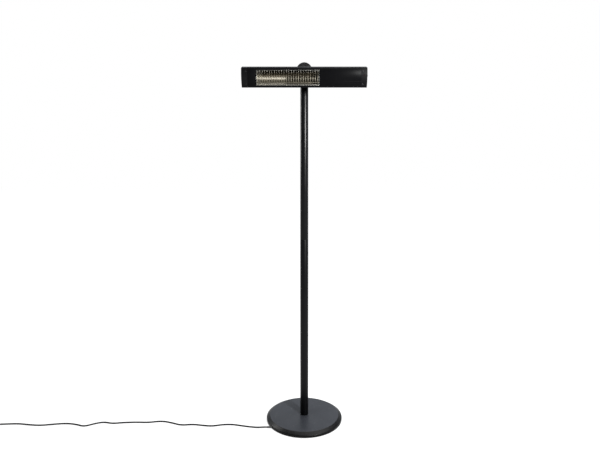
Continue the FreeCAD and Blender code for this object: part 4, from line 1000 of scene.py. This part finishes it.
def wireGrille():
    low, high = levelBox("grille")
    radius = wires["diameter"] / 2
    bend = head["frontRadius"] - radius - 0.0001
    centre = head["frontRadius"] - head["apex"]
    top = levelHalf - head["lip"] - head["ledge"] - radius
    angle = math.asin(top / bend)
    count = int((high.x - low.x + 0.001) / wires["pitch"])
    first = (low.x + high.x) / 2 - wires["pitch"] * (count - 1) / 2
    clearSelection()
    bpy.ops.mesh.primitive_circle_add(vertices=wires["sides"], radius=radius, fill_type="NGON",
                                      location=(first, centre - bend * math.cos(angle), top),
                                      rotation=(-angle, 0, 0))
    wire = bpy.context.object
    editAll(wire)
    bpy.ops.mesh.spin(steps=wires["steps"], angle=2 * angle, center=(first, centre, 0),
                      axis=(-1, 0, 0))
    bpy.ops.mesh.select_all(action="SELECT")
    bpy.ops.mesh.remove_doubles(threshold=1e-6)
    bpy.ops.mesh.normals_make_consistent(inside=False)
    bpy.ops.object.mode_set(mode="OBJECT")
    settled(wire)
    applied(wire, "ARRAY", count=count, use_relative_offset=False, use_constant_offset=True,
            constant_offset_displace=(wires["pitch"], 0, 0))
    bars = [wire]
    for rise in (top, wires["crossRise"], -wires["crossRise"], -top):
        back = centre - math.sqrt(bend ** 2 - rise ** 2) + wires["railBack"]
        length = high.x - low.x
        rail = turned("rail", rounded([(0, 0, 0), (radius, 0, 0.0006), (radius, length, 0.0006),
                                       (0, length, 0)], 3), 12)
        laid(rail, turn=(0, 90, 0))
        bars.append(laid(rail, (low.x, back, rise)))
    hung(joined("wire_grille", bars), "chrome_wire", "grille", smooth=50)


reflectors = {"wall": 0.0008, "mouth": 0.041, "knee": 0.037, "root": 0.018, "back": 0.034,
              "slope": 0.052, "depth": 0.086, "bend": 0.008}


def reflectorTrough():
    low, high = levelBox("reflector")
    wall = reflectors["wall"]

    def half(grow, bend):
        return [(-reflectors["depth"], reflectors["mouth"] + grow, 0),
                (-reflectors["slope"] + grow * 0.4, reflectors["knee"] + grow, bend),
                (-reflectors["back"] + grow, reflectors["root"] + grow * 0.5, bend)]

    outside = mirroredUp(half(wall, reflectors["bend"]))
    inside = mirroredUp(half(0.0, reflectors["bend"] - wall))[::-1]
    trough = pulled("reflector_folded", rounded(outside + inside, 6), low.x, high.x - low.x)
    hung(trough, "bright_reflector", "reflector", smooth=30)
    for label in ("left", "right"):
        node = "reflector_end_" + label
        hung(laid(refinedLevel(node)), "bright_reflector", node, smooth=30, finish="end_sheet")


def refinedLevel(node):
    # a merged copy of a head node, turned level so that hung can hang it again
    piece = refined(node)
    piece.data.transform(toLevel)
    return piece


lamp = {"glassWall": 0.0012, "coilRadius": 0.0022, "coilWire": 0.00035, "coilPitch": 0.0019,
        "coilInset": 0.002, "capLength": 0.017, "ribs": 3, "ribPitch": 0.005, "ribDepth": 0.001}


def heatLamp():
    low, high = levelBox("lamp_tube")
    middle = (low + high) / 2
    radius, length = (high.z - low.z) / 2, high.x - low.x
    inner = radius - lamp["glassWall"]
    glass = turned("lamp_tube_drawn", rounded([
        (inner, 0, 0), (radius, 0, 0.0004), (radius, length, 0.0004), (inner, length, 0)], 3), 48)
    laid(glass, turn=(0, 90, 0))
    hung(laid(glass, (low.x, middle.y, middle.z)), "gold_quartz", "lamp_tube", smooth=50)

    clearSelection()
    bpy.ops.mesh.primitive_circle_add(vertices=6, radius=lamp["coilWire"],
                                      location=(lamp["coilInset"], 0, lamp["coilRadius"]),
                                      rotation=(math.radians(90), 0, 0), fill_type="NOTHING")
    coil = settled(bpy.context.object)
    turns = int((length - 2 * lamp["coilInset"]) / lamp["coilPitch"])
    applied(coil, "SCREW", axis="X", angle=2 * math.pi, screw_offset=lamp["coilPitch"],
            iterations=turns, steps=12, render_steps=12, use_merge_vertices=True)
    coil.name = "lamp_filament_coiled"
    laid(coil, (low.x, middle.y, middle.z))
    editAll(coil)
    bpy.ops.mesh.normals_make_consistent(inside=False)
    bpy.ops.object.mode_set(mode="OBJECT")
    hung(coil, "tungsten", "lamp_filament", smooth=60)

    low, high = levelBox("lamp_ceramics")
    length = lamp["capLength"]
    radius = (high.z - low.z) / 2
    neck = radius - lamp["ribDepth"]
    outline = [(0, 0, 0), (neck, 0, 0.0006)]
    for i in range(lamp["ribs"]):
        start = 0.002 + i * lamp["ribPitch"]
        outline += [(neck, start, 0.0002), (radius, start + 0.0005, 0.0003),
                    (radius, start + 0.0025, 0.0003), (neck, start + 0.003, 0.0002)]
    outline += [(neck, length, 0.0006), (0, length, 0)]
    cap = turned("ceramic_cap", rounded(outline, 3), 40)
    laid(cap, turn=(0, 90, 0))
    ends = [copied(cap, (start, middle.y, middle.z)) for start in (low.x, high.x - length)]
    bpy.data.objects.remove(cap)
    hung(joined("lamp_ceramics_ribbed", ends), "ceramic", "lamp_ceramics")


wireGrille()
reflectorTrough()
heatLamp()
print("window made")

# cable entries, lead, strain relief and plug
fittings = {"bore": 0.0038, "leadRadius": 0.00375, "inside": 0.006, "throat": 0.0068, "nut": 0.009,
            "nutLength": 0.008}


def grommetAndGland():
    low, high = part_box("post_grommet")
    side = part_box("upper_tube")[1].x
    flange, bore = (high.z - low.z) / 2, fittings["bore"]
    height = (low.z + high.z) / 2
    depth = high.x - low.x
    wall = high.x - side
    throat, step = fittings["throat"], depth - wall - 0.0002
    ring = turned("post_grommet_moulded", rounded([
        (bore, 0, 0.0004), (throat, 0, 0.0006), (throat, step, 0), (flange, step, 0.0003),
        (flange, depth - 0.001, 0.0009), (bore + 0.0015, depth, 0.0006), (bore, depth, 0.0004)],
        4), 48)
    laid(ring, turn=(0, 90, 0))
    finished(laid(ring, (low.x, 0, height)), "stand", "rubber", "post_grommet")

    low, high = levelBox("lead_gland")
    middle = (low + high) / 2
    nut, thick = fittings["nut"], fittings["nutLength"]
    front = levelBox("head_housing")[1].y - low.y
    face, back = front + thick, high.y - low.y
    hexagon = settled(hole(nut, thick, (0, 0, front + thick / 2), sides=6))
    bevelled(hexagon, 0.0007, 2, 40)
    dome = turned("lead_gland_ribbed", rounded([
        (bore, 0, 0), (0.0059, 0, 0.0004), (0.0059, face, 0), (nut - 0.001, face, 0.0004),
        (nut - 0.0012, face + 0.003, 0.0008), (0.0055, back, 0.001), (bore, back, 0.0004)], 4), 48)
    cutBy(hexagon, hole(0.0058, 0.04))
    whole = joined("lead_gland_moulded", [dome, hexagon])
    laid(whole, turn=(-90, 0, 0))
    hung(laid(whole, (middle.x, low.y, middle.z)), "black_plastic", "lead_gland")


def headLead():
    # a short sagging lead from the post's grommet to the head's gland
    low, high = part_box("post_grommet")
    exitX, height = high.x, (low.z + high.z) / 2
    low, high = levelBox("lead_gland")
    middle = (low + high) / 2
    back = toLevel.inverted()
    mouth = back @ Vector((middle.x, high.y + 0.0002, middle.z))
    inside = back @ Vector((middle.x, high.y - fittings["inside"], middle.z))
    beyond = back @ Vector((middle.x, high.y + 0.024, middle.z))
    points = [Vector((exitX - fittings["inside"], 0, height)), Vector((exitX, 0, height)),
              Vector((exitX + 0.040, 0, height)),
              Vector((middle.x - 0.012, mouth.y + 0.045, height + 0.014)), beyond, mouth, inside]
    choose(cable("head_lead_sleeved", points, fittings["leadRadius"], 12))
    bpy.ops.object.convert(target="MESH")
    lead = bpy.context.object
    bpy.ops.object.shade_smooth_by_angle(angle=math.radians(40))
    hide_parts("head_lead")
    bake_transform(lead)


boot = {"ribs": 5, "ribDepth": 0.0007, "ribStart": 0.010, "ribPitch": 0.0045, "root": 0.006,
        "tip": 0.0045}


def strainRelief():
    low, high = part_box("strain_relief")
    y, z = (low.y + high.y) / 2, (low.z + high.z) / 2
    root, tip, length = boot["root"], boot["tip"], high.x - low.x
    outline = [(fittings["bore"], 0, 0), (root, 0, 0.0005)]
    for i in range(boot["ribs"]):
        start = boot["ribStart"] + i * boot["ribPitch"]
        here = root + (tip - root) * start / length
        waist = here - boot["ribDepth"]
        outline += [(here, start, 0.0003), (waist, start + 0.0004, 0.0003),
                    (waist, start + 0.0019, 0.0003), (here - 0.0001, start + 0.0023, 0.0003)]
    outline += [(tip, length, 0.0004), (fittings["bore"], length, 0)]
    sleeve = laid(turned("strain_relief_ribbed", rounded(outline, 2), 40), turn=(0, -90, 0))
    finished(laid(sleeve, (high.x, y, z)), "stand", "rubber", "strain_relief")


plugSizes = {"neck": 0.0115, "round": 0.0035, "taper": 0.35, "grips": 3, "gripRadius": 0.0016,
             "gripStart": 0.48, "gripPitch": 0.006, "gripProud": 0.0008, "socket": 0.016}


def mainsPlug():
    low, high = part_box("plug")
    length, width, height = (high - low)
    y, z = (low.y + high.y) / 2, (low.z + high.z) / 2
    neck, taper = plugSizes["neck"] / 2, length * plugSizes["taper"]
    outline = [(0, -neck), (0, neck), (taper, width / 2), (length, width / 2),
               (length, -width / 2), (taper, -width / 2)]
    body = draw("plug_moulded", [Vector((across, up, -height / 2)) for across, up in outline])
    bpy.ops.mesh.edge_face_add()
    bpy.ops.mesh.extrude_region_move(TRANSFORM_OT_translate={"value": (0, 0, height)})
    bpy.ops.mesh.select_all(action="SELECT")
    bpy.ops.mesh.normals_make_consistent(inside=False)
    bpy.ops.object.mode_set(mode="OBJECT")
    bevelled(body, plugSizes["round"], 5, 15)
    pinLow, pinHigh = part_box("plug_pins")
    pinRadius, pinLength = (pinHigh.z - pinLow.z) / 2, pinHigh.x - pinLow.x
    pinReach = (pinHigh.y - pinLow.y) / 2 - pinRadius
    grips = []
    for side in (-1, 1):
        gripY = side * (width / 2 + plugSizes["gripProud"])
        for i in range(plugSizes["grips"]):
            gripX = length * plugSizes["gripStart"] + i * plugSizes["gripPitch"]
            grips.append(hole(plugSizes["gripRadius"], height * 0.62, (gripX, gripY, 0)))
    sockets = [hole(pinRadius, plugSizes["socket"], (length, side * pinReach, 0), (0, 90, 0))
               for side in (-1, 1)]
    cutBy(body, *grips, *sockets)
    finished(laid(body, (low.x, y, z)), "stand", "plug_black", "plug", smooth=30)

    pins = []
    for side in (-1, 1):
        pin = turned("pin", rounded([
            (0, 0, 0), (pinRadius, 0, 0.0002), (pinRadius, pinLength, 0.0018), (0, pinLength, 0)],
            5), 32)
        laid(pin, turn=(0, 90, 0))
        pins.append(laid(pin, (pinLow.x, y + side * pinReach, z)))
    finished(joined("plug_pin_pair", pins), "stand", "nickel", "plug_pins")


grommetAndGland()
headLead()
strainRelief()
mainsPlug()
print("cable fittings made")
